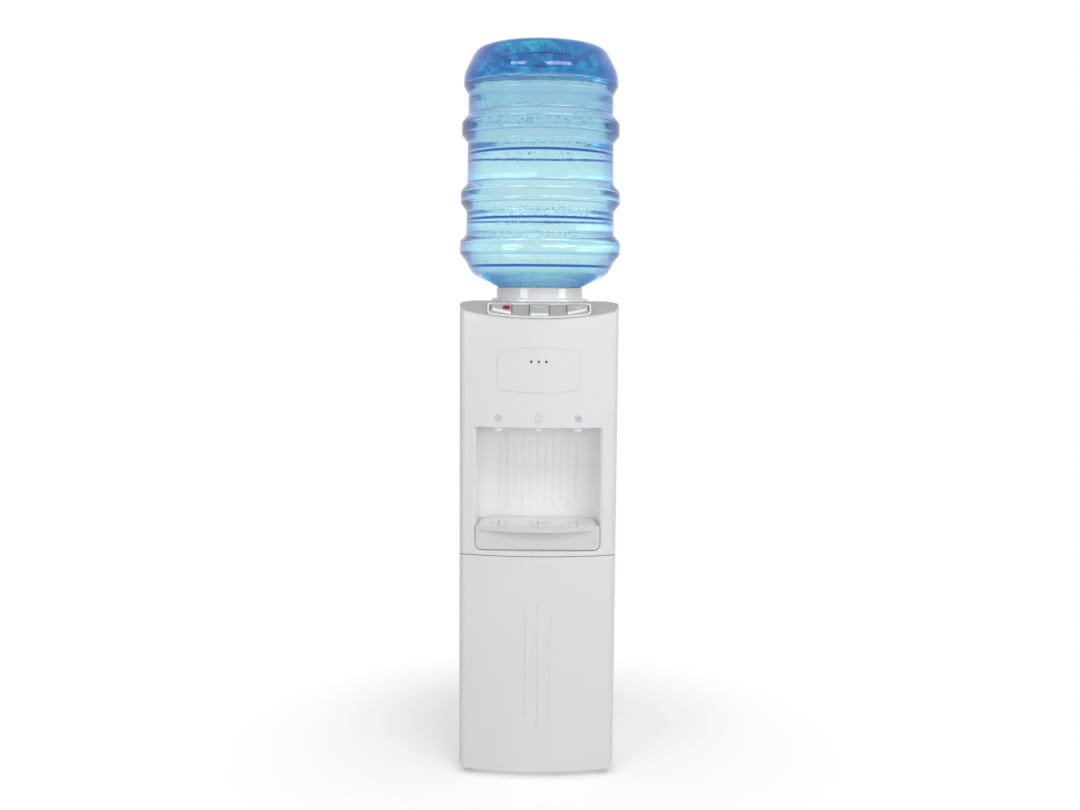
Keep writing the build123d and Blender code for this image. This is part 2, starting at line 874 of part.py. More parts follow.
# Drip grille: flat plate with a rose of slots under each tap
with BuildPart() as drip_grille:
    with BuildSketch(Plane.XY.offset(tray_high - grille_thickness)):
        add(tray_inside)
        offset(amount=-sliding_gap - grille_margin - running_gap)
        add(plan_outline(grille_margin + running_gap), mode=Mode.INTERSECT)
        with Locations(*[(x, tap_y + grille_slot_radius / 2) for x in tap_places.values()]):
            Circle(grille_drain_radius, mode=Mode.SUBTRACT)
            with PolarLocations(grille_slot_radius, grille_slot_count):
                SlotOverall(grille_slot_length, grille_slot_width, mode=Mode.SUBTRACT)
    extrude(amount=grille_thickness)
pieces["drip_grille"] = drip_grille.part

# Taps: turned bodies with a flange on the alcove ceiling, their plungers and return springs
for name, tap_x in tap_places.items():
    body_profile = [
        (nozzle_bore, alcove_top - nozzle_reach),
        (nozzle_radius, alcove_top - nozzle_reach),
        (tap_neck_radius, alcove_top),
        (tap_neck_radius, ceiling_top),
        (tap_flange_radius, ceiling_top),
        (tap_flange_radius, tap_body_low),
        (tap_body_radius, tap_body_low),
        (tap_body_radius, tap_body_high),
        (tap_top_radius, tap_body_high),
        (tap_top_radius, tap_high),
        (rod_radius + running_gap, tap_high),
        (rod_radius + running_gap, chamber_high),
        (valve_chamber_radius, chamber_high),
        (valve_chamber_radius, valve_seat_high),
        (valve_seat_radius, valve_seat_high),
        (valve_seat_radius, valve_seat_low),
        (plug_chamber_radius, valve_seat_low),
        (plug_chamber_radius, valve_seat_low - plug_chamber_height),
        (nozzle_bore, valve_seat_low - plug_chamber_height),
    ]
    turned_body = turned(body_profile, tap_x, tap_y)
    with BuildPart() as tap_body:
        add(turned_body)
        with BuildSketch(to_front(tap_x, spigot_end_y, inlet_z)):
            Circle(spigot_radius)
        extrude(amount=spigot_reach + tap_body_radius - valve_chamber_radius)
        with BuildSketch(to_front(tap_x, spigot_end_y, inlet_z)):
            Circle(spigot_bore)
        extrude(amount=spigot_reach + tap_body_radius, mode=Mode.SUBTRACT)
    pieces[f"{name}_tap_body"] = tap_body.part

    plunger_profile = [
        (0, valve_seat_low - plug_height),
        (plug_radius, valve_seat_low - plug_height),
        (plug_radius, valve_seat_low),
        (valve_stem_radius, valve_seat_low),
        (valve_stem_radius, rod_low),
        (rod_radius, rod_low),
        (rod_radius, spring_high),
        (rod_collar_radius, spring_high),
        (rod_collar_radius, spring_high + rod_collar),
        (rod_radius, spring_high + rod_collar),
        (rod_radius, button_low),
        (0, button_low),
    ]
    pieces[f"{name}_plunger"] = turned(plunger_profile, tap_x, tap_y)

    spring_pitch = (spring_length - spring_wire) / spring_turns
    spring_stations = winding(tap_x, tap_y, tap_high + spring_wire / 2, spring_radius, spring_pitch, spring_turns)
    with BuildPart() as spring:
        with BuildLine() as spring_path:
            wind(spring_stations)
        with BuildSketch(Plane(origin=spring_path.line @ 0, z_dir=spring_path.line % 0)):
            RegularPolygon(spring_wire / 2, 4)
        sweep(path=spring_path.line)
    pieces[f"{name}_button_spring"] = spring.part

# Button carrier: cross strip under the fascia that guides the three push rods
carrier_high = button_low - button_travel - carrier_clearance
carrier_z = carrier_high - carrier_guide_height
with BuildPart() as button_carrier:
    with BuildSketch(Plane.XY.offset(carrier_z)):
        with Locations((0, tap_y)):
            Rectangle(2 * (tap_spacing + carrier_depth), carrier_depth)
        with Locations((0, tap_y + carrier_depth / 2)):
            Rectangle(
                2 * (side_x - front_wall - sheet), carrier_depth / 2, align=(Align.CENTER, Align.MAX)
            )
    extrude(amount=carrier_thickness)
    with BuildSketch(Plane.XY.offset(carrier_z)):
        with Locations(*[(x, tap_y) for x in tap_places.values()]):
            Circle(carrier_guide_radius)
    extrude(amount=carrier_guide_height)
    with BuildSketch(Plane.XY.offset(carrier_z)):
        with Locations(*[(x, tap_y) for x in tap_places.values()]):
            Circle(rod_radius + running_gap)
    extrude(amount=carrier_guide_height, mode=Mode.SUBTRACT)
pieces["button_carrier"] = button_carrier.part

# Top cover: shell with a flat top, a sloping fascia, button openings and the hole for the bottle seat
with BuildPart() as cover_hollow:
    with BuildSketch(Plane.XY.offset(skirt_low - fascia_run)):
        add(plan_outline(cover_wall))
    extrude(amount=cabinet_height - cover_wall - skirt_low + fascia_run)
    extrude(above_top(cover_wall), amount=cabinet_width, both=True, mode=Mode.SUBTRACT)
    hollow_edges = cover_hollow.faces().sort_by(Axis.Z)[-1].edges().filter_by(Axis.Y)
    fillet(hollow_edges, cover_edge_radius - cover_wall)
with BuildPart() as top_cover:
    with BuildSketch(Plane.XY.offset(skirt_low - fascia_run)):
        add(plan_outline())
    extrude(amount=cabinet_height - skirt_low + fascia_run)
    extrude(above_top(0), amount=cabinet_width, both=True, mode=Mode.SUBTRACT)
    cover_edges = top_cover.faces().sort_by(Axis.Z)[-1].edges().filter_by(Axis.Y)
    fillet(cover_edges, cover_edge_radius)
    add(cover_hollow.part, mode=Mode.SUBTRACT)
    fold_y = ridge_y + cover_wall * math.tan(math.radians(fascia_angle) / 2)
    ledge_z = panel_top + seat_gap
    with BuildSketch(Plane.YZ):
        with BuildLine():
            Polyline(
                (fold_y - fascia_run * 2, cabinet_height - cover_wall - fascia_run * 2 * fascia_tan),
                (fold_y - (cabinet_height - cover_wall - ledge_z) / fascia_tan, ledge_z),
                (wrap_y, ledge_z),
                (wrap_y, skirt_low - 2 * fascia_run),
                (fold_y - fascia_run * 2, skirt_low - 2 * fascia_run),
                close=True,
            )
        make_face()
    extrude(amount=cabinet_width, both=True, mode=Mode.SUBTRACT)
    with BuildSketch(Plane.XY.offset(skirt_low)):
        with Locations((0, wrap_y)):
            Rectangle(2 * cabinet_width, 2 * cabinet_depth, align=(Align.CENTER, Align.MIN))
    extrude(amount=-2 * fascia_run, mode=Mode.SUBTRACT)
    with BuildSketch(Plane.XY.offset(ledge_z)):
        add(front_strip(0, front_wall + seat_gap))
    extrude(amount=-2 * fascia_run, mode=Mode.SUBTRACT)
    for side in (-1, 0, 1):
        with BuildSketch(Plane.XY.offset(button_low)):
            add(button_shape(side, running_gap))
        extrude(amount=cabinet_height, mode=Mode.SUBTRACT)
    with BuildSketch(Plane.XY.offset(skirt_low)):
        with Locations((0, bottle_y)):
            Circle(collar_radius - collar_wall / 2 + seat_gap)
    extrude(amount=cover_skirt, mode=Mode.SUBTRACT)
pieces["top_cover"] = top_cover.part

# Trim ring: lens-shaped frame round the buttons, lying on the fascia
fascia_plane = Plane(origin=(0, ridge_y, cabinet_height), x_dir=(1, 0, 0), z_dir=(0, -fascia_sin, fascia_cos))


def down_slope(y):
    """Distance down the fascia from its ridge to a place y, as a local height."""
    return (y - ridge_y) / fascia_cos


with BuildSketch(fascia_plane, mode=Mode.PRIVATE) as trim_outline:
    with BuildLine():
        trim_low = ThreePointArc(
            (-trim_half_width, down_slope(face_y(trim_half_width)) + trim_front_margin),
            (0, down_slope(front_y) + trim_front_margin),
            (trim_half_width, down_slope(face_y(trim_half_width)) + trim_front_margin),
        )
        Polyline(
            trim_low @ 1,
            (trim_half_width, -trim_top_setback),
            (-trim_half_width, -trim_top_setback),
            trim_low @ 0,
        )
    make_face()
    fillet(trim_outline.vertices().group_by(Axis.Y)[-1], side_button_corner)
    trim_corners = [v for v in trim_outline.vertices() if abs(abs(v.X) - trim_half_width) < touch_gap]
    fillet(ShapeList(trim_corners).sort_by(Axis.Y)[:2], trim_corner)
with BuildPart() as button_trim:
    with BuildSketch(fascia_plane):
        add(trim_outline.sketch_local)
        offset(trim_outline.sketch_local, amount=-trim_width, mode=Mode.SUBTRACT)
    extrude(amount=trim_height)
pieces["button_trim"] = button_trim.part

# Buttons: upright prisms with sloping tops, two with a raised pad, the hot one with a lock pocket
cap_plane = Plane(
    origin=(0, ridge_y, cabinet_height + button_proud), x_dir=(1, 0, 0), z_dir=(0, -fascia_sin, fascia_cos)
)
lock_x = -button_spacing + lock_offset
for side, name in ((-1, "hot"), (0, "room"), (1, "cold")):
    with BuildPart() as button:
        with BuildSketch(Plane.XY.offset(button_low)):
            add(button_shape(side, 0))
        extrude(amount=cabinet_height + button_proud - button_low)
        with BuildSketch(cap_plane):
            Rectangle(2 * cabinet_width, 2 * cabinet_width)
        extrude(amount=cabinet_width, mode=Mode.SUBTRACT)
        cap_edges = button.faces().filter_by(lambda f: abs(f.normal_at().dot(cap_plane.z_dir)) > 0.99)
        fillet(cap_edges[0].edges(), button_edge_radius)
        if name == "hot":
            with BuildSketch(cap_plane):
                with Locations((lock_x, -lock_setback / fascia_cos)):
                    Rectangle(
                        lock_width + 2 * touch_gap,
                        lock_length + lock_travel + 2 * touch_gap,
                        align=(Align.CENTER, Align.MAX),
                    )
            extrude(amount=-lock_pocket, mode=Mode.SUBTRACT)
        else:
            pad_middle = side * button_spacing
            with BuildSketch(cap_plane):
                with BuildLine():
                    pad_edge = Line(
                        (pad_middle - pad_width / 2, -pad_setback), (pad_middle + pad_width / 2, -pad_setback)
                    )
                    ThreePointArc(pad_edge @ 0, (pad_middle, -pad_setback - pad_depth), pad_edge @ 1)
                make_face()
            extrude(amount=pad_height)
    pieces[f"{name}_button"] = button.part

# Child lock on the hot button: a slider in its pocket with two finger lobes
lock_low = -lock_setback / fascia_cos - lock_length - lock_travel - touch_gap
lock_middle = lock_low + lock_length / 2
with BuildPart() as hot_lock_slider:
    with BuildSketch(cap_plane.offset(-lock_pocket)):
        with Locations((lock_x, lock_low)):
            Rectangle(lock_width, lock_length, align=(Align.CENTER, Align.MIN))
    extrude(amount=lock_height)
    with BuildSketch(cap_plane.offset(lock_height - lock_pocket)):
        with Locations((lock_x - lock_width / 4, lock_middle), (lock_x + lock_width / 4, lock_middle)):
            Circle(lock_lobe_radius)
    extrude(amount=lock_lobe_height)
    lobe_tops = hot_lock_slider.faces().sort_by(Axis(cap_plane.origin, cap_plane.z_dir))[-2:]
    fillet(lobe_tops.edges(), lock_lobe_round)
pieces["hot_lock_slider"] = hot_lock_slider.part

# Bottle seat: flange on the cover, collar with a rounded rim, funnel and the cup for the bottle neck
collar_inner = collar_radius - collar_wall
throat_z = cabinet_height - seat_throat_top
with BuildPart() as bottle_seat:
    with BuildSketch(upright(0, bottle_y)):
        with BuildLine():
            outer_wall = Polyline(
                (collar_radius, rim_z - collar_wall / 2),
                (collar_radius, cabinet_height + seat_flange),
                (seat_flange_radius - collar_wall / 2, cabinet_height + seat_flange),
                (seat_flange_radius, cabinet_height + seat_flange - collar_wall / 2),
                (seat_flange_radius, cabinet_height),
                (collar_radius - collar_wall / 2, cabinet_height),
                (collar_radius - collar_wall / 2, cabinet_height - cover_wall),
                (seat_throat_radius + seat_wall, throat_z - seat_wall),
                (seat_throat_radius + seat_wall, seat_bottom),
                (probe_radius + touch_gap, seat_bottom),
                (probe_radius + touch_gap, cup_low),
                (seat_throat_radius, cup_low),
                (seat_throat_radius, throat_z),
                (collar_inner, cabinet_height + seat_flange),
                (collar_inner, rim_z - collar_wall / 2),
            )
            ThreePointArc(
                outer_wall @ 1, (collar_radius - collar_wall / 2, rim_z), outer_wall @ 0
            )
        make_face()
    revolve(axis=Axis((0, bottle_y, 0), (0, 0, 1)))
pieces["bottle_seat"] = bottle_seat.part

# Bottle probe: hollow spike that opens the cap and leads the water down
probe_profile = [
    (probe_bore, seat_bottom - probe_dip),
    (probe_radius, seat_bottom - probe_dip),
    (probe_radius, cup_low),
    (probe_flange_radius, cup_low),
    (probe_flange_radius, cup_low + probe_flange),
    (probe_radius, cup_low + probe_flange),
    (probe_radius, cup_low + probe_rise - probe_tip),
    (probe_bore / 2, cup_low + probe_rise),
    (0, cup_low + probe_rise),
    (0, cup_low + probe_rise - probe_tip),
    (probe_bore, cup_low + probe_rise - 2 * probe_tip),
]
pieces["bottle_probe"] = turned(probe_profile, 0, bottle_y)

# Bottle
rim_middle = collar_radius - collar_wall / 2
rim_centre_z = rim_z - collar_wall / 2
slope_length = math.sqrt(1 + shoulder_slope**2)
bottle_lift = (collar_wall / 2 + seat_gap) * slope_length


def shoulder_z(radius, inset):
    """Height of the conical shoulder at a radius, tangent to the collar rim with the seat clearance."""
    return rim_centre_z + bottle_lift + (radius - rim_middle) * shoulder_slope + inset * slope_length


def body_radius(height):
    """Radius of the slightly tapered bottle body."""
    share = (height - body_low) / (body_high - body_low)
    return body_low_radius + (body_high_radius - body_low_radius) * share


def bottle_face(inset, low):
    """Half section of the bottle, lying inside its outer skin by inset and ending at a height low."""
    points = [(neck_radius - inset, low), (neck_radius - inset, shoulder_z(neck_radius - inset, inset))]
    rounds = [ring_foot_round]
    points.append((shoulder_end_radius - inset, shoulder_z(shoulder_end_radius - inset, inset)))
    rounds.append(shoulder_round)
    for height in ring_heights:
        points.append((body_radius(height - ring_foot) - inset, rim_z + height - ring_foot))
        points.append((body_radius(height) + ring_rise - inset, rim_z + height - ring_crest))
        points.append((body_radius(height) + ring_rise - inset, rim_z + height + ring_crest))
        points.append((body_radius(height + ring_foot) - inset, rim_z + height + ring_foot))
        rounds += [ring_foot_round, ring_crest_round, ring_crest_round, ring_foot_round]
    points.append((body_high_radius - inset, rim_z + body_high))
    points.append((base_band_radius - inset, rim_z + base_band_low))
    points.append((base_band_radius - inset, rim_z + base_band_high))
    points.append((base_edge_radius - inset, rim_z + base_height - inset))
    points.append((base_stand_radius, rim_z + base_height - inset))
    points.append((base_dish_radius, rim_z + base_height - base_dish - inset))
    points.append((0, rim_z + base_height - base_dish - inset))
    rounds += [ring_foot_round, ring_foot_round, 2 * base_edge_round, base_edge_round]
    rounds += [ring_foot_round, ring_foot_round]
    with BuildSketch(upright(0, bottle_y), mode=Mode.PRIVATE) as half:
        with BuildLine():
            skin = FilletPolyline(*points, radius=rounds)
            Polyline(skin @ 1, (0, low), skin @ 0)
        make_face()
    return half.sketch


bottle_axis = Axis((0, bottle_y, 0), (0, 0, 1))
with BuildPart() as bottle:
    with BuildSketch(upright(0, bottle_y)):
        add(bottle_face(0, rim_z + neck_end))
        add(bottle_face(bottle_wall, rim_z + neck_end - sliding_gap), mode=Mode.SUBTRACT)
    revolve(axis=bottle_axis)
pieces["bottle"] = bottle.part

# Water in the bottle, up to a level under the base
with BuildPart() as bottle_water:
    with BuildSketch(upright(0, bottle_y)):
        add(bottle_face(bottle_wall + seat_gap, rim_z + water_low))
        with Locations((0, rim_z + water_level)):
            Rectangle(cabinet_width, cabinet_height, align=(Align.MIN, Align.MAX), mode=Mode.INTERSECT)
    revolve(axis=bottle_axis)
pieces["bottle_water"] = bottle_water.part

# Bottle cap: skirt round the neck and the well that the probe enters
cap_low = rim_z + neck_end - cap_end
cap_inner = neck_radius + touch_gap
cap_profile = [
    (cap_well_radius, cap_low),
    (cap_inner + cap_wall, cap_low),
    (cap_inner + cap_wall, cap_low + cap_skirt),
    (cap_inner, cap_low + cap_skirt),
    (cap_inner, cap_low + cap_end),
    (cap_well_radius + cap_well_wall, cap_low + cap_end),
    (cap_well_radius + cap_well_wall, cap_low + cap_well_height + cap_end),
    (0, cap_low + cap_well_height + cap_end),
    (0, cap_low + cap_well_height),
    (cap_well_radius, cap_low + cap_well_height),
]
pieces["bottle_cap"] = turned(cap_profile, 0, bottle_y)

# Cold tank: deep-drawn pot with outlets for room and cold water and stubs to the hot tank and the drain
room_outlet_z = tank_high - room_outlet_drop
cold_outlet_z = tank_low + cold_outlet_rise
outlet_end_y = tank_y - foam_radius - outlet_reach
stub_low = shelf_low - outlet_reach
hot_feed_place = (hot_feed_x, tank_y - tank_radius / 2)
cold_drain_place = (cold_outlet_x, tank_y + tank_radius / 2)
with BuildPart() as cold_tank:
    with BuildSketch(Plane.XY.offset(tank_low)):
        with Locations((0, tank_y)):
            Circle(tank_radius)
    extrude(amount=tank_height)
    for outlet_x, outlet_z in ((0, room_outlet_z), (cold_outlet_x, cold_outlet_z)):
        with BuildSketch(to_back(outlet_x, outlet_end_y, outlet_z)):
            Circle(hose_radius)
        extrude(amount=tank_y - outlet_end_y)
    with BuildSketch(Plane.XY.offset(stub_low)):
        with Locations(hot_feed_place, cold_drain_place):
            Circle(hose_radius)
    extrude(amount=tank_low - stub_low)
    with BuildSketch(Plane.XY.offset(tank_low + tank_wall)):
        with Locations((0, tank_y)):
            Circle(tank_radius - tank_wall)
    extrude(amount=tank_height, mode=Mode.SUBTRACT)
    for outlet_x, outlet_z in ((0, room_outlet_z), (cold_outlet_x, cold_outlet_z)):
        with BuildSketch(to_back(outlet_x, outlet_end_y, outlet_z)):
            Circle(hose_bore)
        extrude(amount=tank_y - outlet_end_y, mode=Mode.SUBTRACT)
    with BuildSketch(Plane.XY.offset(stub_low)):
        with Locations(hot_feed_place, cold_drain_place):
            Circle(hose_bore)
    extrude(amount=tank_low + tank_wall - stub_low, mode=Mode.SUBTRACT)
pieces["cold_tank"] = cold_tank.part

# Tank lid with the hole for the probe, and the baffle that hangs from it on three legs
with BuildPart() as tank_cover:
    with BuildSketch(Plane.XY.offset(tank_high)):
        with Locations((0, tank_y)):
            Circle(foam_radius)
        with Locations((0, bottle_y)):
            Circle(probe_radius + running_gap, mode=Mode.SUBTRACT)
    extrude(amount=tank_lid)
    with BuildSketch(Plane.XY.offset(tank_high - baffle_drop)):
        with Locations((0, tank_y)):
            Circle(baffle_radius)
    extrude(amount=baffle_thickness)
    with BuildSketch(Plane.XY.offset(tank_high - baffle_drop)):
        with Locations((0, tank_y)):
            with PolarLocations(baffle_radius - 2 * baffle_leg_radius, 3, start_angle=90):
                Circle(baffle_leg_radius)
    extrude(amount=baffle_drop)
pieces["tank_lid"] = tank_cover.part

# Evaporator: tube wound on the tank with straight ends to both sides
coil_stations = winding(
    0, tank_y, evaporator_z, evaporator_radius, evaporator_pitch, evaporator_turns
)
with BuildPart() as evaporator_coil:
    with BuildLine() as coil_path:
        coil_start, coil_along = coil_stations[0]
        coil_end, coil_away = coil_stations[-1]
        Line(coil_start - coil_along * evaporator_lead, coil_start)
        wind(coil_stations)
        Line(coil_end, coil_end + coil_away * evaporator_lead)
    with BuildSketch(Plane(origin=coil_path.line @ 0, z_dir=coil_path.line % 0)):
        Circle(evaporator_tube_radius)
    sweep(path=coil_path.line)
pieces["evaporator_coil"] = evaporator_coil.part
coil_inlet = coil_start - coil_along * evaporator_lead
coil_outlet = coil_end + coil_away * evaporator_lead

# Tank foam: two half shells round the tank and the coil
with BuildPart() as tank_foam:
    with BuildSketch(Plane.XY.offset(shelf_high)):
        with Locations((0, tank_y)):
            Circle(foam_radius)
    extrude(amount=tank_high - shelf_high)
    with BuildSketch(Plane.XY.offset(tank_low)):
        with Locations((0, tank_y)):
            Circle(foam_inner_radius)
    extrude(amount=tank_height, mode=Mode.SUBTRACT)
    for outlet_x, outlet_z in ((0, room_outlet_z), (cold_outlet_x, cold_outlet_z)):
        with BuildSketch(to_back(outlet_x, outlet_end_y, outlet_z)):
            Circle(hose_radius + running_gap)
        extrude(amount=tank_y - outlet_end_y, mode=Mode.SUBTRACT)
    with BuildSketch(Plane.XY.offset(shelf_high)):
        with Locations(hot_feed_place, cold_drain_place):
            Circle(hose_radius + running_gap)
    extrude(amount=foam_floor, mode=Mode.SUBTRACT)
    for end, away in ((coil_start, coil_along * -1), (coil_end, coil_away)):
        with BuildSketch(Plane(origin=end, z_dir=away)):
            Circle(evaporator_tube_radius + running_gap)
        extrude(amount=evaporator_lead, mode=Mode.SUBTRACT)
    split(bisect_by=Plane.XZ.offset(-tank_y), keep=Keep.BOTH)
pieces["tank_foam"] = tank_foam.part

# Tank shelf: folded sheet between the side panels with holes for the stubs and pipes
suction_x = coil_outlet.X - pipe_bend
capillary_x = coil_inlet.X + pipe_bend
shelf_length = back_inner_y - sheet - shelf_front_y
with BuildPart() as tank_shelf:
    with BuildSketch(Plane.XY.offset(shelf_high - shelf_flange)):
        with Locations((0, shelf_front_y)):
            Rectangle(2 * side_inner_x, shelf_length, align=(Align.CENTER, Align.MIN))
    extrude(amount=shelf_flange)
    with BuildSketch(Plane.XY.offset(shelf_high - shelf_flange)):
        with Locations((0, shelf_front_y)):
            Rectangle(2 * (side_inner_x - base_sheet), shelf_length, align=(Align.CENTER, Align.MIN))
    extrude(amount=shelf_flange - base_sheet, mode=Mode.SUBTRACT)
    with BuildSketch(Plane.XY.offset(shelf_low)):
        with Locations(hot_feed_place, cold_drain_place):
            Circle(hose_radius + running_gap)
        with Locations((suction_x, evaporator_back_y), (capillary_x, evaporator_back_y)):
            Circle(2 * pipe_radius)
    extrude(amount=base_sheet, mode=Mode.SUBTRACT)
pieces["tank_shelf"] = tank_shelf.part

# Hot tank: closed drum with rounded edges and stubs for feed, outlet and drain
with BuildPart() as hot_tank_inside:
    with BuildSketch(Plane.XY.offset(hot_tank_low + hot_tank_wall)):
        with Locations((0, hot_y)):
            Circle(hot_tank_radius - hot_tank_wall)
    extrude(amount=hot_tank_height - 2 * hot_tank_wall)
    fillet(hot_tank_inside.edges().filter_by(GeomType.CIRCLE), hot_tank_edge - hot_tank_wall)
with BuildPart() as hot_tank:
    with BuildSketch(Plane.XY.offset(hot_tank_low)):
        with Locations((0, hot_y)):
            Circle(hot_tank_radius)
    extrude(amount=hot_tank_height)
    fillet(hot_tank.edges().filter_by(GeomType.CIRCLE), hot_tank_edge)
    with BuildSketch(Plane.XY.offset(hot_high)):
        with Locations((hot_outlet_x, hot_y), (hot_feed_x, hot_y)):
            Circle(hot_stub_radius)
    extrude(amount=hot_stub)
    with BuildSketch(Plane.XY.offset(hot_tank_low)):
        with Locations((hot_feed_x, hot_y)):
            Circle(hot_stub_radius)
    extrude(amount=-hot_stub)
    add(hot_tank_inside.part, mode=Mode.SUBTRACT)
    with BuildSketch(Plane.XY.offset(hot_high - 2 * hot_tank_wall)):
        with Locations((hot_outlet_x, hot_y), (hot_feed_x, hot_y)):
            Circle(hose_bore)
    extrude(amount=hot_stub + 2 * hot_tank_wall, mode=Mode.SUBTRACT)
    with BuildSketch(Plane.XY.offset(hot_tank_low + 2 * hot_tank_wall)):
        with Locations((hot_feed_x, hot_y)):
            Circle(hose_bore)
    extrude(amount=-hot_stub - 2 * hot_tank_wall, mode=Mode.SUBTRACT)
pieces["hot_tank"] = hot_tank.part

# Heater band round the hot tank
with BuildPart() as heater_band:
    with BuildSketch(Plane.XY.offset(hot_tank_low + heater_low)):
        with Locations((0, hot_y)):
            Circle(hot_tank_radius + seat_gap + heater_thickness)
            Circle(hot_tank_radius + seat_gap, mode=Mode.SUBTRACT)
    extrude(amount=heater_height)
pieces["heater_band"] = heater_band.part

# Hot tank jacket of insulation
with BuildPart() as hot_tank_jacket:
    with BuildSketch(Plane.XY.offset(hot_tank_low)):
        with Locations((0, hot_y)):
            Circle(jacket_radius)
            Circle(hot_tank_radius + 2 * seat_gap + heater_thickness, mode=Mode.SUBTRACT)
    extrude(amount=hot_tank_height)
pieces["hot_tank_jacket"] = hot_tank_jacket.part

# Hot tank bracket: angle on the back panel that the tank stands on
bracket_front_y = hot_y - jacket_radius
with BuildPart() as hot_tank_bracket:
    with BuildSketch(Plane.YZ):
        with BuildLine():
            Polyline(
                (bracket_front_y, hot_tank_low),
                (back_inner_y, hot_tank_low),
                (back_inner_y, hot_tank_low - bracket_flange),
                (back_inner_y - bracket_sheet, hot_tank_low - bracket_flange),
                (back_inner_y - bracket_sheet, hot_tank_low - bracket_sheet),
                (bracket_front_y, hot_tank_low - bracket_sheet),
                close=True,
            )
        make_face()
    extrude(amount=bracket_half_width, both=True)
    with BuildSketch(Plane.XY.offset(hot_tank_low)):
        with Locations((hot_feed_x, hot_y)):
            Circle(hot_stub_radius + running_gap)
    extrude(amount=-bracket_sheet, mode=Mode.SUBTRACT)
pieces["hot_tank_bracket"] = hot_tank_bracket.part

# Thermostats: control and safety discs on the top of the hot tank
with BuildPart() as hot_thermostats:
    with BuildSketch(Plane.XY.offset(hot_high)):
        with Locations((0, hot_y - thermostat_spread), (0, hot_y + thermostat_spread)):
            Circle(thermostat_radius)
    extrude(amount=thermostat_height)
    with BuildSketch(Plane.XY.offset(hot_high + thermostat_height)):
        with Locations((0, hot_y - thermostat_spread), (0, hot_y + thermostat_spread)):
            with GridLocations(thermostat_radius, 1, 2, 1):
                Rectangle(inlet_pin_width / 2, inlet_pin_height)
    extrude(amount=thermostat_height)
pieces["hot_thermostats"] = hot_thermostats.part

# Hoses: from the tanks to the taps, and from the cold tank to the hot tank
hose_lane_y = (spigot_end_y + outlet_end_y) / 2
hose_bend = (outlet_end_y - spigot_end_y) / 2 - touch_gap
room_hose = tube(
    [
        (0, outlet_end_y, room_outlet_z),
        (0, hose_lane_y, room_outlet_z),
        (0, hose_lane_y, inlet_z),
        (0, spigot_end_y, inlet_z),
    ],
    hose_bend,
    hose_radius,
    hose_bore,
)
cold_hose = tube(
    [
        (cold_outlet_x, outlet_end_y, cold_outlet_z),
        (cold_outlet_x, hose_lane_y, cold_outlet_z),
        (tap_spacing, hose_lane_y, inlet_z),
        (tap_spacing, spigot_end_y, inlet_z),
    ],
    hose_bend,
    hose_radius,
    hose_bore,
)
hot_outlet_hose = tube(
    [
        (hot_outlet_x, hot_y, hot_high + hot_stub),
        (hot_outlet_x, hot_y, inlet_z),
        (-tap_spacing, hose_lane_y, inlet_z),
        (-tap_spacing, spigot_end_y, inlet_z),
    ],
    hose_bend,
    hose_radius,
    hose_bore,
)
hot_feed_z = (stub_low + hot_high + hot_stub) / 2
hot_feed_hose = tube(
    [
        (hot_feed_x, hot_feed_place[1], stub_low),
        (hot_feed_x, hot_feed_place[1], hot_feed_z),
        (hot_feed_x, hot_y, hot_feed_z),
        (hot_feed_x, hot_y, hot_high + hot_stub),
    ],
    hose_bend,
    hose_radius,
    hose_bore,
)
with BuildPart() as water_hoses:
    add([room_hose, cold_hose, hot_outlet_hose, hot_feed_hose])
pieces["water_hoses"] = water_hoses.part

# Drain pipes, outlets in the back panel and their screw caps
hot_drain_x = drain_x
cold_drain_x = drain_x + drain_spacing
hot_drain_pipe = tube(
    [
        (hot_feed_x, hot_y, hot_tank_low - hot_stub),
        (hot_feed_x, hot_y, service_level + drain_bend * 2),
        (hot_drain_x, hot_y + drain_bend * 2, service_level),
        (hot_drain_x, back_inner_y - drain_flange, service_level),
    ],
    drain_bend,
    hose_radius,
    hose_bore,
)
cold_drain_pipe = tube(
    [
        (cold_drain_place[0], cold_drain_place[1], stub_low),
        (cold_drain_place[0], cold_drain_place[1], stub_low - drain_bend * 2),
        (cold_drain_x, cold_drain_place[1], stub_low - drain_bend * 3),
        (cold_drain_x, cold_drain_place[1], service_level),
        (cold_drain_x, back_inner_y - drain_flange, service_level),
    ],
    drain_bend,
    hose_radius,
    hose_bore,
)
with BuildPart() as drain_pipes:
    add([hot_drain_pipe, cold_drain_pipe])
pieces["drain_pipes"] = drain_pipes.part
drain_places = {"hot": hot_drain_x, "cold": cold_drain_x}
with BuildPart() as drain_outlets:
    for drain_place in drain_places.values():
        with BuildSketch(to_front(drain_place, back_inner_y, service_level)):
            Circle(drain_flange_radius)
        extrude(amount=drain_flange)
        with BuildSketch(to_back(drain_place, back_inner_y, service_level)):
            Circle(drain_thread_radius)
        extrude(amount=drain_reach)
        with BuildSketch(
            to_back(drain_place, back_inner_y - drain_flange, service_level)
        ):
            Circle(hose_bore)
        extrude(amount=drain_reach + drain_flange, mode=Mode.SUBTRACT)
pieces["drain_outlets"] = drain_outlets.part
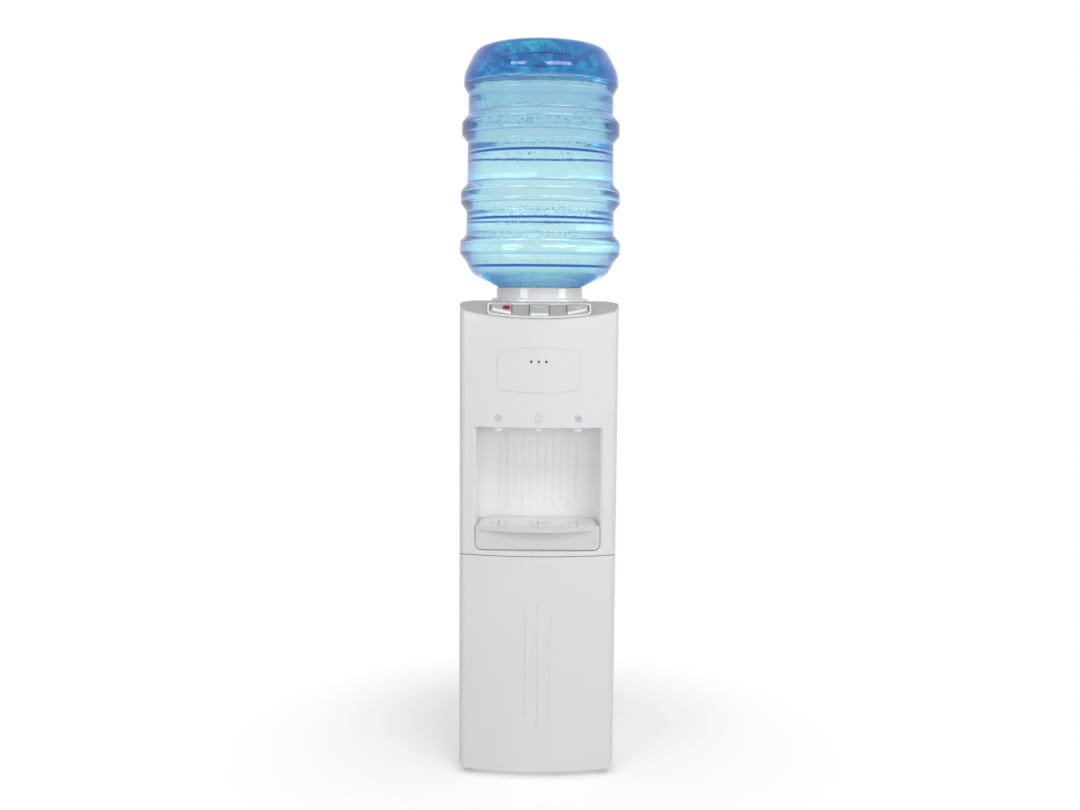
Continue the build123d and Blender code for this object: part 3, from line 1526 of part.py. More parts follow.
for name, drain_place in drain_places.items():
    cap_plane_y = back_inner_y + drain_reach + touch_gap
    with BuildPart() as drain_cap:
        with BuildSketch(to_back(drain_place, cap_plane_y, service_level)):
            Circle(drain_cap_radius)
            with PolarLocations(drain_cap_radius, drain_cap_grips):
                Circle(drain_cap_grip_radius, mode=Mode.SUBTRACT)
        extrude(amount=drain_flange)
        with BuildSketch(to_front(drain_place, cap_plane_y, service_level)):
            Circle(drain_cap_radius)
            with PolarLocations(drain_cap_radius, drain_cap_grips):
                Circle(drain_cap_grip_radius, mode=Mode.SUBTRACT)
            Circle(drain_thread_radius + seat_gap, mode=Mode.SUBTRACT)
        extrude(amount=drain_cap_height - drain_flange)
    pieces[f"{name}_drain_cap"] = drain_cap.part

# Compressor: welded shell in two halves, with a dome, four mounting ears, a terminal cover and two stubs
suction_z = compressor_low + suction_rise
discharge_z = compressor_low + discharge_rise
with BuildPart() as compressor:
    with BuildSketch(Plane.XY.offset(compressor_low)):
        with Locations((0, compressor_y)):
            Circle(compressor_radius)
    extrude(amount=compressor_height)
    fillet(compressor.edges().group_by(Axis.Z)[-1], compressor_dome)
    fillet(compressor.edges().group_by(Axis.Z)[0], compressor_dome / 2)
    with BuildSketch(Plane.XY.offset(compressor_low + compressor_seam_height)):
        with Locations((0, compressor_y)):
            Circle(compressor_radius + compressor_seam)
    extrude(amount=2 * compressor_seam)
    with BuildSketch(Plane.XY.offset(compressor_low)):
        with Locations((0, compressor_y)):
            Rectangle(
                2 * (compressor_foot_x + compressor_foot_half), 2 * (compressor_foot_y + compressor_foot_half)
            )
        fillet(vertices(), compressor_foot_half)
        with Locations(*mount_places):
            Circle(mount_bolt_radius + running_gap, mode=Mode.SUBTRACT)
    extrude(amount=compressor_foot_sheet)
    with BuildSketch(to_back(0, compressor_y, compressor_low + terminal_rise)):
        Rectangle(terminal_width, terminal_height)
    extrude(amount=compressor_radius + terminal_depth)
    with BuildSketch(Plane(origin=(0, compressor_y, suction_z), z_dir=(-1, 0, 0))):
        Circle(pipe_radius)
    extrude(amount=compressor_radius + stub_length)
    with BuildSketch(Plane(origin=(0, compressor_y, discharge_z), z_dir=(-1, 0, 0))):
        Circle(pipe_radius)
    extrude(amount=compressor_radius + stub_length)
pieces["compressor"] = compressor.part

# Compressor mounts: rubber bushes, and the bolts with their nuts
with BuildPart() as compressor_mounts:
    with BuildSketch(Plane.XY.offset(base_top)):
        with Locations(*mount_places):
            Circle(grommet_radius)
            Circle(mount_bolt_radius + running_gap, mode=Mode.SUBTRACT)
    extrude(amount=compressor_lift)
pieces["compressor_mounts"] = compressor_mounts.part
nut_low = compressor_low + compressor_foot_sheet
with BuildPart() as compressor_bolts:
    with BuildSketch(Plane.XY.offset(base_top)):
        with Locations(*mount_places):
            Circle(mount_bolt_radius)
    extrude(amount=nut_low + mount_nut - base_top)
    with BuildSketch(Plane.XY.offset(nut_low)):
        with Locations(*mount_places):
            RegularPolygon(mount_nut_radius, 6)
    extrude(amount=mount_nut)
pieces["compressor_bolts"] = compressor_bolts.part

# Condenser: one serpentine tube with an upright lead, and the wires welded across it
discharge_start = (-compressor_radius - stub_length, compressor_y, discharge_z)
condenser_start = (condenser_lead_x, condenser_y, condenser_low)
condenser_path = [condenser_start, (condenser_lead_x, condenser_y, condenser_high)]
side = 1
for pass_number in range(condenser_passes):
    pass_z = condenser_high - pass_number * condenser_pitch
    if pass_number > 0:
        condenser_path.append((-side * condenser_half_width, condenser_y, pass_z))
    condenser_path.append((side * condenser_half_width, condenser_y, pass_z))
    side = -side
drier_x = -side * condenser_half_width
drier_start_y = back_y - 2 * pipe_bend
condenser_end = (drier_x, condenser_y, condenser_low - condenser_pitch / 2)
condenser_path.append(condenser_end)
pass_bend = condenser_pitch / 2 - touch_gap
bends = [pipe_bend] + [pass_bend] * (2 * condenser_passes - 1)
condenser_tube = tube(condenser_path, bends, condenser_tube_radius)
discharge_pipe = tube(
    [
        discharge_start,
        (condenser_lead_x, compressor_y, discharge_z),
        (condenser_lead_x, condenser_y, discharge_z),
        condenser_start,
    ],
    pipe_bend,
    condenser_tube_radius,
)
liquid_pipe = tube(
    [condenser_end, (drier_x, condenser_y, drier_level), (drier_x, drier_start_y, drier_level)],
    pipe_bend,
    condenser_tube_radius,
)
wire_step = 2 * (condenser_half_width - condenser_pitch / 2) / (wire_count - 1)
wire_y = condenser_y + condenser_tube_radius + wire_radius + touch_gap
wire_low = condenser_low - wire_margin
wire_length = condenser_high - condenser_low + 2 * wire_margin
with BuildPart() as condenser:
    add(condenser_tube)
    with BuildSketch(Plane.XY.offset(wire_low)):
        with Locations(
            *[((wire - (wire_count - 1) / 2) * wire_step, wire_y) for wire in range(wire_count)]
        ):
            Circle(wire_radius)
    extrude(amount=wire_length)
pieces["condenser"] = condenser.part

# Filter drier: drum with necked ends, then the capillary to the evaporator
drier_end_y = drier_start_y - drier_length
with BuildPart() as filter_drier:
    with BuildSketch(Plane(origin=(drier_x, 0, drier_level), x_dir=(0, 1, 0), z_dir=(1, 0, 0))):
        with BuildLine():
            Polyline(
                (drier_start_y, 0),
                (drier_start_y, condenser_tube_radius),
                (drier_start_y - drier_neck, drier_radius),
                (drier_end_y + drier_neck, drier_radius),
                (drier_end_y, condenser_tube_radius),
                (drier_end_y, 0),
                close=True,
            )
        make_face()
    revolve(axis=Axis((drier_x, 0, drier_level), (0, 1, 0)))
pieces["filter_drier"] = filter_drier.part
capillary_tube = tube(
    [
        (drier_x, drier_end_y, drier_level),
        (drier_x, drier_end_y - 2 * pipe_bend, drier_level),
        (drier_x, drier_end_y - 2 * pipe_bend, shelf_low - 3 * pipe_bend),
        (capillary_x, evaporator_back_y, shelf_low - 2 * pipe_bend),
        (capillary_x, evaporator_back_y, coil_inlet.Z),
        (coil_inlet.X + touch_gap, evaporator_back_y, coil_inlet.Z),
    ],
    pipe_bend - touch_gap,
    capillary_radius,
)
suction_pipe = tube(
    [
        (coil_outlet.X - touch_gap, evaporator_back_y, coil_outlet.Z),
        (suction_x, evaporator_back_y, coil_outlet.Z),
        (suction_x, evaporator_back_y, suction_z + 2 * pipe_bend),
        (suction_x - pipe_bend, compressor_y, suction_z),
        (-compressor_radius - stub_length, compressor_y, suction_z),
    ],
    [pipe_bend - touch_gap, pipe_bend, pipe_bend / 2],
    pipe_radius,
)

with BuildPart() as refrigerant_pipes:
    add([discharge_pipe, liquid_pipe, capillary_tube, suction_pipe])
pieces["refrigerant_pipes"] = refrigerant_pipes.part

# Back panel: flat sheet with vents, cut-outs for the switches, the inlet and the drains, and four posts
switch_places = {"hot": switch_x - switch_spacing / 2, "cold": switch_x + switch_spacing / 2}
post_x = condenser_half_width - condenser_pitch
back_face = to_back(0, back_inner_y, 0)
with BuildPart() as back_panel:
    with BuildSketch(back_face):
        with Locations((0, (back_panel_low + skirt_low) / 2)):
            Rectangle(cabinet_width, skirt_low - back_panel_low)
        with Locations((0, vent_low + vent_spacing * (vent_count - 1) / 2)):
            with GridLocations(vent_length, vent_spacing, 1, vent_count):
                SlotOverall(vent_length, vent_width, mode=Mode.SUBTRACT)
        with Locations(*[(-x, service_level) for x in switch_places.values()]):
            Rectangle(
                switch_body_width + 2 * touch_gap, switch_body_height + 2 * touch_gap, mode=Mode.SUBTRACT
            )
        with Locations((-inlet_x, inlet_level)):
            Rectangle(inlet_width + 2 * touch_gap, inlet_height + 2 * touch_gap, mode=Mode.SUBTRACT)
        with Locations(*[(-x, service_level) for x in drain_places.values()]):
            Circle(drain_thread_radius + seat_gap, mode=Mode.SUBTRACT)
    extrude(amount=sheet)
    with BuildSketch(back_face.offset(sheet)):
        with Locations(*[(sx * post_x, z) for sx in (-1, 1) for z in (condenser_low, condenser_high)]):
            Circle(bracket_post_radius)
    extrude(amount=condenser_standoff - condenser_tube_radius - touch_gap)
pieces["back_panel"] = back_panel.part

# Rear switches: housings in the back panel and rockers that tilt on their pins
rocker_pin_half = rocker_width / 2 + rocker_pin_reach
with BuildPart() as switch_housings:
    for switch_place in switch_places.values():
        with BuildSketch(to_back(switch_place, back_y, service_level)):
            Rectangle(switch_width, switch_height)
        extrude(amount=switch_bezel)
        with BuildSketch(to_front(switch_place, back_y, service_level)):
            Rectangle(switch_body_width, switch_body_height)
        extrude(amount=switch_depth)
        with BuildSketch(
            to_front(switch_place, back_y + switch_bezel, service_level)
        ):
            Rectangle(rocker_width + 2 * running_gap, rocker_height + 2 * rocker_gap)
        extrude(amount=switch_depth - switch_bezel, mode=Mode.SUBTRACT)
        with BuildSketch(Plane(origin=(switch_place, back_y, service_level), z_dir=(1, 0, 0))):
            Circle(rocker_pin_radius + seat_gap)
        extrude(amount=rocker_pin_half + seat_gap, both=True, mode=Mode.SUBTRACT)
pieces["switch_housings"] = switch_housings.part
rocker_half = rocker_height / 2
rocker_rise = rocker_half * math.sin(math.radians(rocker_tilt))
rocker_end = rocker_half * math.cos(math.radians(rocker_tilt))
rocker_points = [
    (-rocker_half / 2, -rocker_half / 2),
    (switch_bezel + rocker_rise, -rocker_end),
    (switch_bezel, 0),
    (switch_bezel + rocker_rise, rocker_end),
    (-rocker_half / 2, rocker_half / 2),
]
for name, switch_place in switch_places.items():
    rocker_plane = Plane(origin=(switch_place, back_y, service_level), x_dir=(0, 1, 0), z_dir=(1, 0, 0))
    with BuildPart() as rocker:
        with BuildSketch(rocker_plane):
            with Locations(Rotation(0, 0, rocker_tilt)):
                Polygon(*rocker_points, align=None)
        extrude(amount=rocker_width / 2, both=True)
        with BuildSketch(rocker_plane):
            Circle(rocker_pin_radius)
        extrude(amount=rocker_pin_half, both=True)
    pieces[f"{name}_switch_rocker"] = rocker.part

# Power inlet: flanged socket with a well and three pins
with BuildPart() as power_inlet:
    with BuildSketch(to_back(inlet_x, back_y, inlet_level)):
        Rectangle(inlet_ear_spacing + inlet_width / 2, inlet_height + 2 * inlet_flange)
        fillet(vertices(), inlet_flange)
    extrude(amount=inlet_flange)
    with BuildSketch(to_front(inlet_x, back_y, inlet_level)):
        Rectangle(inlet_width, inlet_height)
    extrude(amount=inlet_depth)
    with BuildSketch(to_front(inlet_x, back_y + inlet_flange, inlet_level)):
        Rectangle(inlet_width - 2 * inlet_flange, inlet_height - 2 * inlet_flange)
        fillet(vertices(), inlet_flange)
    extrude(amount=inlet_well, mode=Mode.SUBTRACT)
    with BuildSketch(
        to_back(inlet_x, back_y + inlet_flange - inlet_well, inlet_level)
    ):
        with Locations(
            (-inlet_pin_spacing, -inlet_pin_offset), (0, inlet_pin_offset), (inlet_pin_spacing, -inlet_pin_offset)
        ):
            Rectangle(inlet_pin_width, inlet_pin_height)
    extrude(amount=inlet_well - inlet_flange)
pieces["power_inlet"] = power_inlet.part

# Screws of the back panel
with BuildPart() as back_screws:
    with BuildSketch(to_back(0, back_y, 0)):
        with Locations(
            *[
                (sx * (side_x - screw_inset), z)
                for sx in (-1, 1)
                for z in (back_panel_low + screw_inset, seam_height, skirt_low - screw_inset)
            ]
        ):
            Circle(screw_radius)
    extrude(amount=screw_head)
    fillet(back_screws.edges().group_by(Axis.Y)[-1], screw_head / 2)
pieces["back_screws"] = back_screws.part

for label, piece in pieces.items():
    piece.label = label
    export_step(piece, f"parts/{label}.step")
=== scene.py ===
"""Looks of a free-standing water cooler with an inverted bottle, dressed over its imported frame."""

import json
import math

import bmesh
import bpy
from mathutils import Matrix, Vector


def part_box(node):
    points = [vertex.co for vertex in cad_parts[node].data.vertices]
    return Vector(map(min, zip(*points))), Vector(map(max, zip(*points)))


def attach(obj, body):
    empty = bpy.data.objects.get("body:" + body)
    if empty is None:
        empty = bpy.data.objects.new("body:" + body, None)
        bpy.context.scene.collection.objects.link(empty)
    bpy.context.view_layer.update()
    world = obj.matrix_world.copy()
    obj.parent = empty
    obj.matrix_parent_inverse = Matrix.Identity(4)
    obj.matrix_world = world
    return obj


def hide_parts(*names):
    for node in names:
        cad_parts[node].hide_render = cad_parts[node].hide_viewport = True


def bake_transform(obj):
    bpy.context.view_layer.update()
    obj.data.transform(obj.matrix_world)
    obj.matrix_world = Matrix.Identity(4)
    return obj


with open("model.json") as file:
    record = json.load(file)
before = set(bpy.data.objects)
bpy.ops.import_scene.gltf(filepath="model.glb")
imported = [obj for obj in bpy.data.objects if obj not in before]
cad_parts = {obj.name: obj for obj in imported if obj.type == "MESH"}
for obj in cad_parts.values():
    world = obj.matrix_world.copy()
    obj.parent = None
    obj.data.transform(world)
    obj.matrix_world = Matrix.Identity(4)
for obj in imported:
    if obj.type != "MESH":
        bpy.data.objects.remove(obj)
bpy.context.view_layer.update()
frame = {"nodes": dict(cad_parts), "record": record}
nodes = frame["nodes"]
scene = bpy.context.scene
scene.view_settings.view_transform = "Standard"

# Light crosses the bottle's walls and water many times. With fewer bounces the rings turn grey.
BOUNCES = 72
scene.cycles.max_bounces = BOUNCES
scene.cycles.transmission_bounces = BOUNCES
scene.cycles.glossy_bounces = BOUNCES

# ---------------------------------------------------------------- places, in metres
# The bowed front: its middle and its radius.
FRONT_Y = -0.14905
BOW_RADIUS = 0.4325
# The bottle: its axis, the rim that it sits on, its wall, its rings above the rim, its water.
BOTTLE_Y = -0.00705
RIM_Z = 0.817
BOTTLE_WALL = 0.0016
RING_HEIGHTS = (0.067, 0.152, 0.267)
WATER_LOW, WATER_LEVEL = 0.788, 1.157
# The signs above the taps.
SIGN_Z = 0.604
TAP_X = 0.065
INK_THICKNESS = 0.0001

# ---------------------------------------------------------------- tints of the bottle
# Heights above the floor: end of the neck, haze of the upper body, edge and top of the base.
NECK_END = 0.862
HAZE_LOW, HAZE_HIGH = 1.02, 1.10
BASE_EDGE, BASE_BLUE, BASE_TOP = 1.154, 1.161, 1.22
BLOTCHES_FROM, RIPPLES_FROM, BASE_FULL = 1.155, 1.15, 1.17
# Painted shade lines round the body, for the refraction at the rings: the dark one under each ring,
# two thin ones at the ring, half their widths.
DARK_LINE_DROPS = (0.031, 0.038, 0.044)
THIN_LINE_RISES = (0.022, -0.012)
DARK_LINE_HALF, THIN_LINE_HALF = 0.0018, 0.0010
# Rows of small bubbles: middle above the floor, half the height.
BUBBLE_ROWS = ((1.111, 0.011), (1.051, 0.006), (0.944, 0.010), (0.902, 0.010))

# ---------------------------------------------------------------- shared shading values
NOISE_LOW, NOISE_HIGH = 0.3, 0.7
ROUGHNESS_SPREAD = 0.03
PALE_DUST, DARK_DUST = (0.48, 0.46, 0.43), (0.42, 0.40, 0.37)
# Reach and darkness of the painted shade in inner corners.
CORNER_SHADE_REACH, CORNER_SHADE_FACTOR = 0.005, 0.30


def face_y(x):
    """Outside of the bowed front at a distance x from the middle."""
    return FRONT_Y + BOW_RADIUS - math.sqrt(BOW_RADIUS**2 - x**2)


# ---------------------------------------------------------------- material helpers
class Look:
    """One material: a principled shader, and short calls for the nodes behind it."""

    def __init__(self, name, colour, roughness, metallic=0.0, **sockets):
        self.material = bpy.data.materials.new(name)
        self.material.use_nodes = True
        self.tree = self.material.node_tree
        self.shader = self.tree.nodes["Principled BSDF"]
        self.colour = colour
        self.shader.inputs["Base Color"].default_value = (*colour, 1.0)
        self.shader.inputs["Roughness"].default_value = roughness
        self.shader.inputs["Metallic"].default_value = metallic
        for key, value in sockets.items():
            self.shader.inputs[key.replace("_", " ")].default_value = value
        self.place = self.add("ShaderNodeTexCoord").outputs["Object"]

    def add(self, kind, **inputs):
        """New node, with its input values; an underscore stands for a space in their names."""
        node = self.tree.nodes.new(kind)
        for key, value in inputs.items():
            node.inputs[key.replace("_", " ")].default_value = value
        return node

    def link(self, out, into):
        self.tree.links.new(out, into)

    def stretched(self, x, y, z):
        """Object coordinates scaled along each axis, for streaks and grain."""
        node = self.add("ShaderNodeMapping", Scale=(x, y, z))
        self.link(self.place, node.inputs["Vector"])
        return node.outputs["Vector"]

    def noise(self, scale, detail, vector=None):
        node = self.add("ShaderNodeTexNoise", Scale=scale, Detail=detail)
        self.link(vector or self.place, node.inputs["Vector"])
        return node.outputs["Fac"]

    def cells(self, scale, output):
        node = self.add("ShaderNodeTexVoronoi", Scale=scale)
        self.link(self.place, node.inputs["Vector"])
        return node.outputs[output]

    def ranged(self, value, low, high, to_low, to_high):
        """Smooth step from one level to another while the value goes from low to high."""
        node = self.add(
            "ShaderNodeMapRange", From_Min=low, From_Max=high, To_Min=to_low, To_Max=to_high
        )
        node.interpolation_type = "SMOOTHSTEP"
        self.link(value, node.inputs["Value"])
        return node.outputs["Result"]

    def combined(self, operation, one, two):
        node = self.add("ShaderNodeMath")
        node.operation = operation
        self.link(one, node.inputs[0])
        self.link(two, node.inputs[1])
        return node.outputs["Value"]

    def times(self, one, two):
        return self.combined("MULTIPLY", one, two)

    def plus(self, one, two):
        return self.combined("ADD", one, two)

    def clouds(self, scale, detail, most=1.0):
        """Soft patches from 0 to most."""
        return self.ranged(self.noise(scale, detail), NOISE_LOW, NOISE_HIGH, 0.0, most)

    def band(self, value, rise, full, fall, end, most=1.0):
        """Up to most where the value lies in a band, and 0 on both sides of it."""
        rising = self.ranged(value, rise, full, 0.0, most)
        return self.times(rising, self.ranged(value, fall, end, 1.0, 0.0))

    def ramp(self, value, low, high, stops):
        """Colours at places between low and high of a value."""
        node = self.add("ShaderNodeValToRGB")
        stretch = self.add("ShaderNodeMapRange", From_Min=low, From_Max=high)
        self.link(value, stretch.inputs["Value"])
        self.link(stretch.outputs["Result"], node.inputs["Fac"])
        points = node.color_ramp.elements
        while len(points) < len(stops):
            points.new(1.0)
        for point, (place, colour) in zip(points, stops):
            point.position = (place - low) / (high - low)
            point.color = (*colour, 1.0)
        return node

    def axis(self, name, vector=None):
        """One coordinate of the place on the object, or of another vector."""
        node = self.add("ShaderNodeSeparateXYZ")
        self.link(vector or self.place, node.inputs["Vector"])
        return node.outputs[name]

    def grazing(self):
        """0 where light meets the surface straight on, 1 where it only grazes it."""
        return self.add("ShaderNodeLayerWeight", Blend=0.5).outputs["Facing"]

    def facing_up(self):
        """How far the surface looks up, from -1 to 1."""
        return self.axis("Z", self.add("ShaderNodeNewGeometry").outputs["Normal"])

    def dust(self, start, most):
        """Speckled dust on faces that look up by more than start."""
        lying = self.ranged(self.facing_up(), start, 1.0, 0.0, most)
        return self.times(lying, self.noise(60.0, 5.0))

    def in_corners(self, reach):
        """1 deep in inner corners, 0 further than reach from them."""
        node = self.add("ShaderNodeAmbientOcclusion", Distance=reach)
        node.samples = 8
        return self.ranged(node.outputs["AO"], 0.55, 0.95, 1.0, 0.0)

    def mix(self, share, one, two):
        """Colour between two colours, each a tuple or another node's output."""
        node = self.add("ShaderNodeMix")
        node.data_type = "RGBA"
        self.link(share, node.inputs[0])
        for socket, value in ((node.inputs[6], one), (node.inputs[7], two)):
            if isinstance(value, tuple):
                socket.default_value = (*value, 1.0)
            else:
                self.link(value, socket)
        return node.outputs[2]

    def shade(self, factor):
        """The material's own colour, made lighter or darker."""
        return tuple(min(1.0, c * factor) for c in self.colour)

    def base(self, colour):
        self.link(colour, self.shader.inputs["Base Color"])

    def rough(self, value, low, high):
        spread = self.ranged(value, NOISE_LOW, NOISE_HIGH, low, high)
        self.link(spread, self.shader.inputs["Roughness"])

    def bump(self, height, strength, distance):
        node = self.add("ShaderNodeBump", Strength=strength, Distance=distance)
        self.link(height, node.inputs["Height"])
        self.link(node.outputs["Normal"], self.shader.inputs["Normal"])

    def absorbs(self, colour, density):
        """Tint that grows with the way light takes through the body."""
        node = self.add("ShaderNodeVolumeAbsorption", Color=(*colour, 1.0), Density=density)
        self.link(node.outputs["Volume"], self.tree.nodes["Material Output"].inputs["Volume"])

    def glow(self, strength):
        return self.add("ShaderNodeEmission", Strength=strength).outputs["Emission"]


def moulded(
    name, colour, roughness, grain=1300.0, depth=0.05, dust=0.06, sides=None, corner_shade=False, **sockets
):
    """Injection-moulded plastic: fine grain, faint flow clouds, a little dust on top.

    Upright faces may be painted lighter than the tops, as a painted highlight, and inner corners may
    be darkened, as painted shade.
    """
    look = Look(name, colour, roughness, **sockets)
    surface = look.mix(look.clouds(6.5, 4.0), look.shade(0.99), look.shade(1.008))
    # Painted highlight: upright faces take a lighter colour than faces that look up, standing in for
    # fronts that catch the light.
    if sides:
        upright = look.ranged(look.facing_up(), 0.25, 0.6, 1.0, 0.0)
        surface = look.mix(upright, surface, sides)
    if corner_shade:
        # Painted shade: inner corners darkened towards a darker tone of the colour.
        surface = look.mix(look.in_corners(CORNER_SHADE_REACH), surface, look.shade(CORNER_SHADE_FACTOR))
    look.base(look.mix(look.dust(0.5, dust), surface, PALE_DUST))
    look.rough(look.noise(38.0, 4.0), roughness - ROUGHNESS_SPREAD, roughness + ROUGHNESS_SPREAD)
    look.bump(look.noise(grain, 2.0), depth, 0.0002)
    return look.material


def painted(name, colour, roughness, **sockets):
    """Powder-coated sheet: orange peel, and dust that lies on faces that look up."""
    look = Look(name, colour, roughness, **sockets)
    surface = look.mix(look.clouds(4.0, 4.0), look.shade(0.985), look.shade(1.01))
    look.base(look.mix(look.dust(0.4, 0.35), surface, DARK_DUST))
    look.rough(look.noise(25.0, 4.0), roughness - ROUGHNESS_SPREAD, roughness + ROUGHNESS_SPREAD)
    look.bump(look.noise(420.0, 2.0), 0.06, 0.0003)
    return look.material


def galvanised(name, colour):
    """Zinc-coated sheet: crystal spangle, dull patches and fine scratches."""
    look = Look(name, colour, 0.42, metallic=1.0)
    spangle = look.axis("X", look.cells(75.0, "Color"))
    surface = look.mix(spangle, look.shade(0.82), look.shade(1.12))
    dull = look.ranged(look.noise(9.0, 5.0), 0.4, 0.75, 0.0, 0.55)
    look.base(look.mix(dull, surface, look.shade(0.72)))
    look.rough(look.noise(30.0, 5.0), 0.34, 0.58)
    look.bump(look.noise(6.0, 3.0, look.stretched(20.0, 20.0, 160.0)), 0.06, 0.0003)
    return look.material


def brushed(name, colour, roughness):
    """Drawn or rolled steel: fine streaks round the body."""
    look = Look(name, colour, roughness, metallic=1.0)
    streaks = look.noise(5.0, 4.0, look.stretched(6.0, 6.0, 420.0))
    look.base(look.mix(streaks, look.shade(0.84), look.shade(1.08)))
    look.rough(streaks, roughness, roughness + 0.15)
    look.bump(streaks, 0.08, 0.0002)
    return look.material


def tarnished(name, colour):
    """Copper tube: bright metal with browned patches."""
    look = Look(name, colour, 0.32, metallic=1.0)
    browned = look.ranged(look.noise(22.0, 5.0), 0.42, 0.66, 0.0, 0.8)
    brown = (0.24, 0.12, 0.07)
    look.base(look.mix(browned, look.shade(1.05), brown))
    look.rough(look.noise(40.0, 4.0), 0.3, 0.5)
    look.bump(look.noise(500.0, 2.0), 0.06, 0.0002)
    return look.material


def spongy(name, colour):
    """Foam insulation: open pores and uneven tone."""
    look = Look(name, colour, 0.92, Sheen_Weight=0.2)
    look.base(look.mix(look.noise(35.0, 6.0), look.shade(0.78), look.shade(1.08)))
    look.bump(look.noise(650.0, 4.0), 0.5, 0.0012)
    return look.material


def rubbery(name, colour, roughness, **sockets):
    """Rubber or silicone: matt bloom and fine grain."""
    look = Look(name, colour, roughness, **sockets)
    bloom = look.ranged(look.noise(28.0, 5.0), 0.35, 0.7, 0.0, 1.0)
    look.base(look.mix(bloom, look.shade(0.9), look.shade(1.25)))
    look.rough(bloom, roughness - 0.08, roughness + 0.08)
    look.bump(look.noise(900.0, 2.0), 0.12, 0.0002)
    return look.material


def printed_board():
    """Circuit board: solder mask over darker traces."""
    look = Look("board_green", (0.03, 0.17, 0.07), 0.35)
    traces = look.ranged(look.cells(420.0, "Distance"), 0.35, 0.45, 0.0, 1.0)
    look.base(look.mix(traces, look.shade(1.0), look.shade(0.55)))
    look.rough(look.noise(60.0, 4.0), 0.28, 0.45)
    look.bump(traces, 0.15, 0.0001)
    return look.material


def lamp_lenses():
    """Three unlit indicator lenses: amber-brown, grey-green and dark, from left to right."""
    look = Look("lamp_lens", (0.2, 0.15, 0.12), 0.18, Coat_Weight=0.6)
    amber, green, dark = (0.07, 0.022, 0.018), (0.11, 0.10, 0.045), (0.015, 0.015, 0.032)
    left, green_from, dark_from, right = -0.02, -0.006, 0.006, 0.02
    stops = ((left, amber), (green_from, green), (dark_from, dark))
    ramp = look.ramp(look.axis("X"), left, right, stops)
    ramp.color_ramp.interpolation = "CONSTANT"
    milky = (0.12, 0.11, 0.11)
    look.base(look.mix(look.clouds(900.0, 2.0, 0.35), ramp.outputs["Color"], milky))
    look.rough(look.noise(300.0, 2.0), 0.12, 0.26)
    return look.material


def clear_blue():
    """Blown polycarbonate: blue base, painted dark lines at the thick rings for their refraction,
    painted deeper blue at grazing edges, bubbles, fine droplets.
    """
    pale, haze, neck = (0.98, 0.955, 0.93), (0.77, 0.805, 0.85), (0.32, 0.58, 0.69)
    base_low, base_high = (0.035, 0.33, 0.66), (0.06, 0.44, 0.68)
    turquoise, glint = (0.16, 0.78, 0.80), (0.50, 0.92, 0.95)
    dark_refraction_line, thin_refraction_line = (0.004, 0.13, 0.50), (0.55, 0.70, 0.86)
    bubble, painted_edge_blue = (0.06, 0.20, 0.36), (0.02, 0.14, 0.60)
    look = Look("bottle_blue", pale, 0.02, Transmission_Weight=1.0, IOR=1.5)
    height = look.axis("Z")

    stops = (
        (RIM_Z, neck), (NECK_END, pale), (HAZE_LOW, pale), (HAZE_HIGH, haze),
        (BASE_EDGE, haze), (BASE_BLUE, base_low), (BASE_TOP, base_high),
    )
    body = look.ramp(height, RIM_Z, BASE_TOP, stops).outputs["Color"]
    in_base = look.ranged(height, BLOTCHES_FROM, BASE_FULL, 0.0, 1.0)
    blotches = look.ranged(look.noise(40.0, 6.0), 0.46, 0.60, 0.0, 0.85)
    body = look.mix(look.times(blotches, in_base), body, turquoise)
    sparkle = look.ranged(look.noise(260.0, 4.0), 0.54, 0.66, 0.0, 0.7)
    body = look.mix(look.times(sparkle, in_base), body, glint)

    # Painted shade: narrow darker bands round each ring, standing in for the refraction in the thick
    # ring walls.
    for ring, drop in zip(RING_HEIGHTS, DARK_LINE_DROPS):
        lines = [(-drop, DARK_LINE_HALF, dark_refraction_line)]
        lines += [(rise, THIN_LINE_HALF, thin_refraction_line) for rise in THIN_LINE_RISES]
        for rise, half, tint in lines:
            line = RIM_Z + ring + rise
            low, high = line - 0.8 * half, line + 0.8 * half
            share = look.band(height, line - 1.8 * half, low, high, line + 1.2 * half)
            body = look.mix(share, body, tint)
    bubbles = look.ranged(look.cells(190.0, "Distance"), 0.18, 0.34, 1.0, 0.0)
    for middle, half in BUBBLE_ROWS:
        row = look.band(height, middle - half, middle, middle, middle + half, most=0.8)
        body = look.mix(look.times(bubbles, row), body, bubble)
    # Painted shade: a deeper blue where the surface is seen at a grazing angle, standing in for the
    # longer light path through the wall at the edges.
    deep = look.ranged(look.grazing(), 0.30, 0.78, 0.0, 0.9)
    look.base(look.mix(deep, body, painted_edge_blue))
    look.rough(look.noise(70.0, 3.0), 0.01, 0.05)

    dots = look.ranged(look.cells(260.0, "Distance"), 0.10, 0.36, 1.0, 0.0)
    patches = look.noise(8.0, 3.0, look.stretched(1.0, 1.0, 3.0))
    droplets = look.times(dots, look.ranged(patches, 0.5, 0.62, 0.0, 0.5))
    waves = look.noise(3.0, 3.0, look.stretched(9.0, 9.0, 30.0))
    rippled = look.ranged(height, RIPPLES_FROM, BASE_FULL, 0.0, 1.6)
    ripples = look.times(look.noise(28.0, 4.0), rippled)
    look.bump(look.plus(look.plus(droplets, waves), ripples), 0.10, 0.002)
    look.absorbs((0.02, 0.75, 0.98), 195.0)
    return look.material


def still_water():
    """Water with the faint cyan that a long path gives it."""
    look = Look("water", (0.985, 1.0, 1.0), 0.0, Transmission_Weight=1.0, IOR=1.333)
    look.bump(look.noise(14.0, 2.0), 0.02, 0.002)
    look.absorbs((0.70, 1.0, 0.92), 1.0)
    return look.material


def printed_ink(name, colour):
    """Pad-printed ink: thin, slightly patchy."""
    look = Look(name, colour, 0.42)
    look.base(look.mix(look.clouds(700.0, 3.0), look.shade(0.92), look.shade(1.12)))
    look.rough(look.noise(500.0, 2.0), 0.35, 0.5)
    look.bump(look.noise(1500.0, 2.0), 0.1, 0.0001)
    return look.material


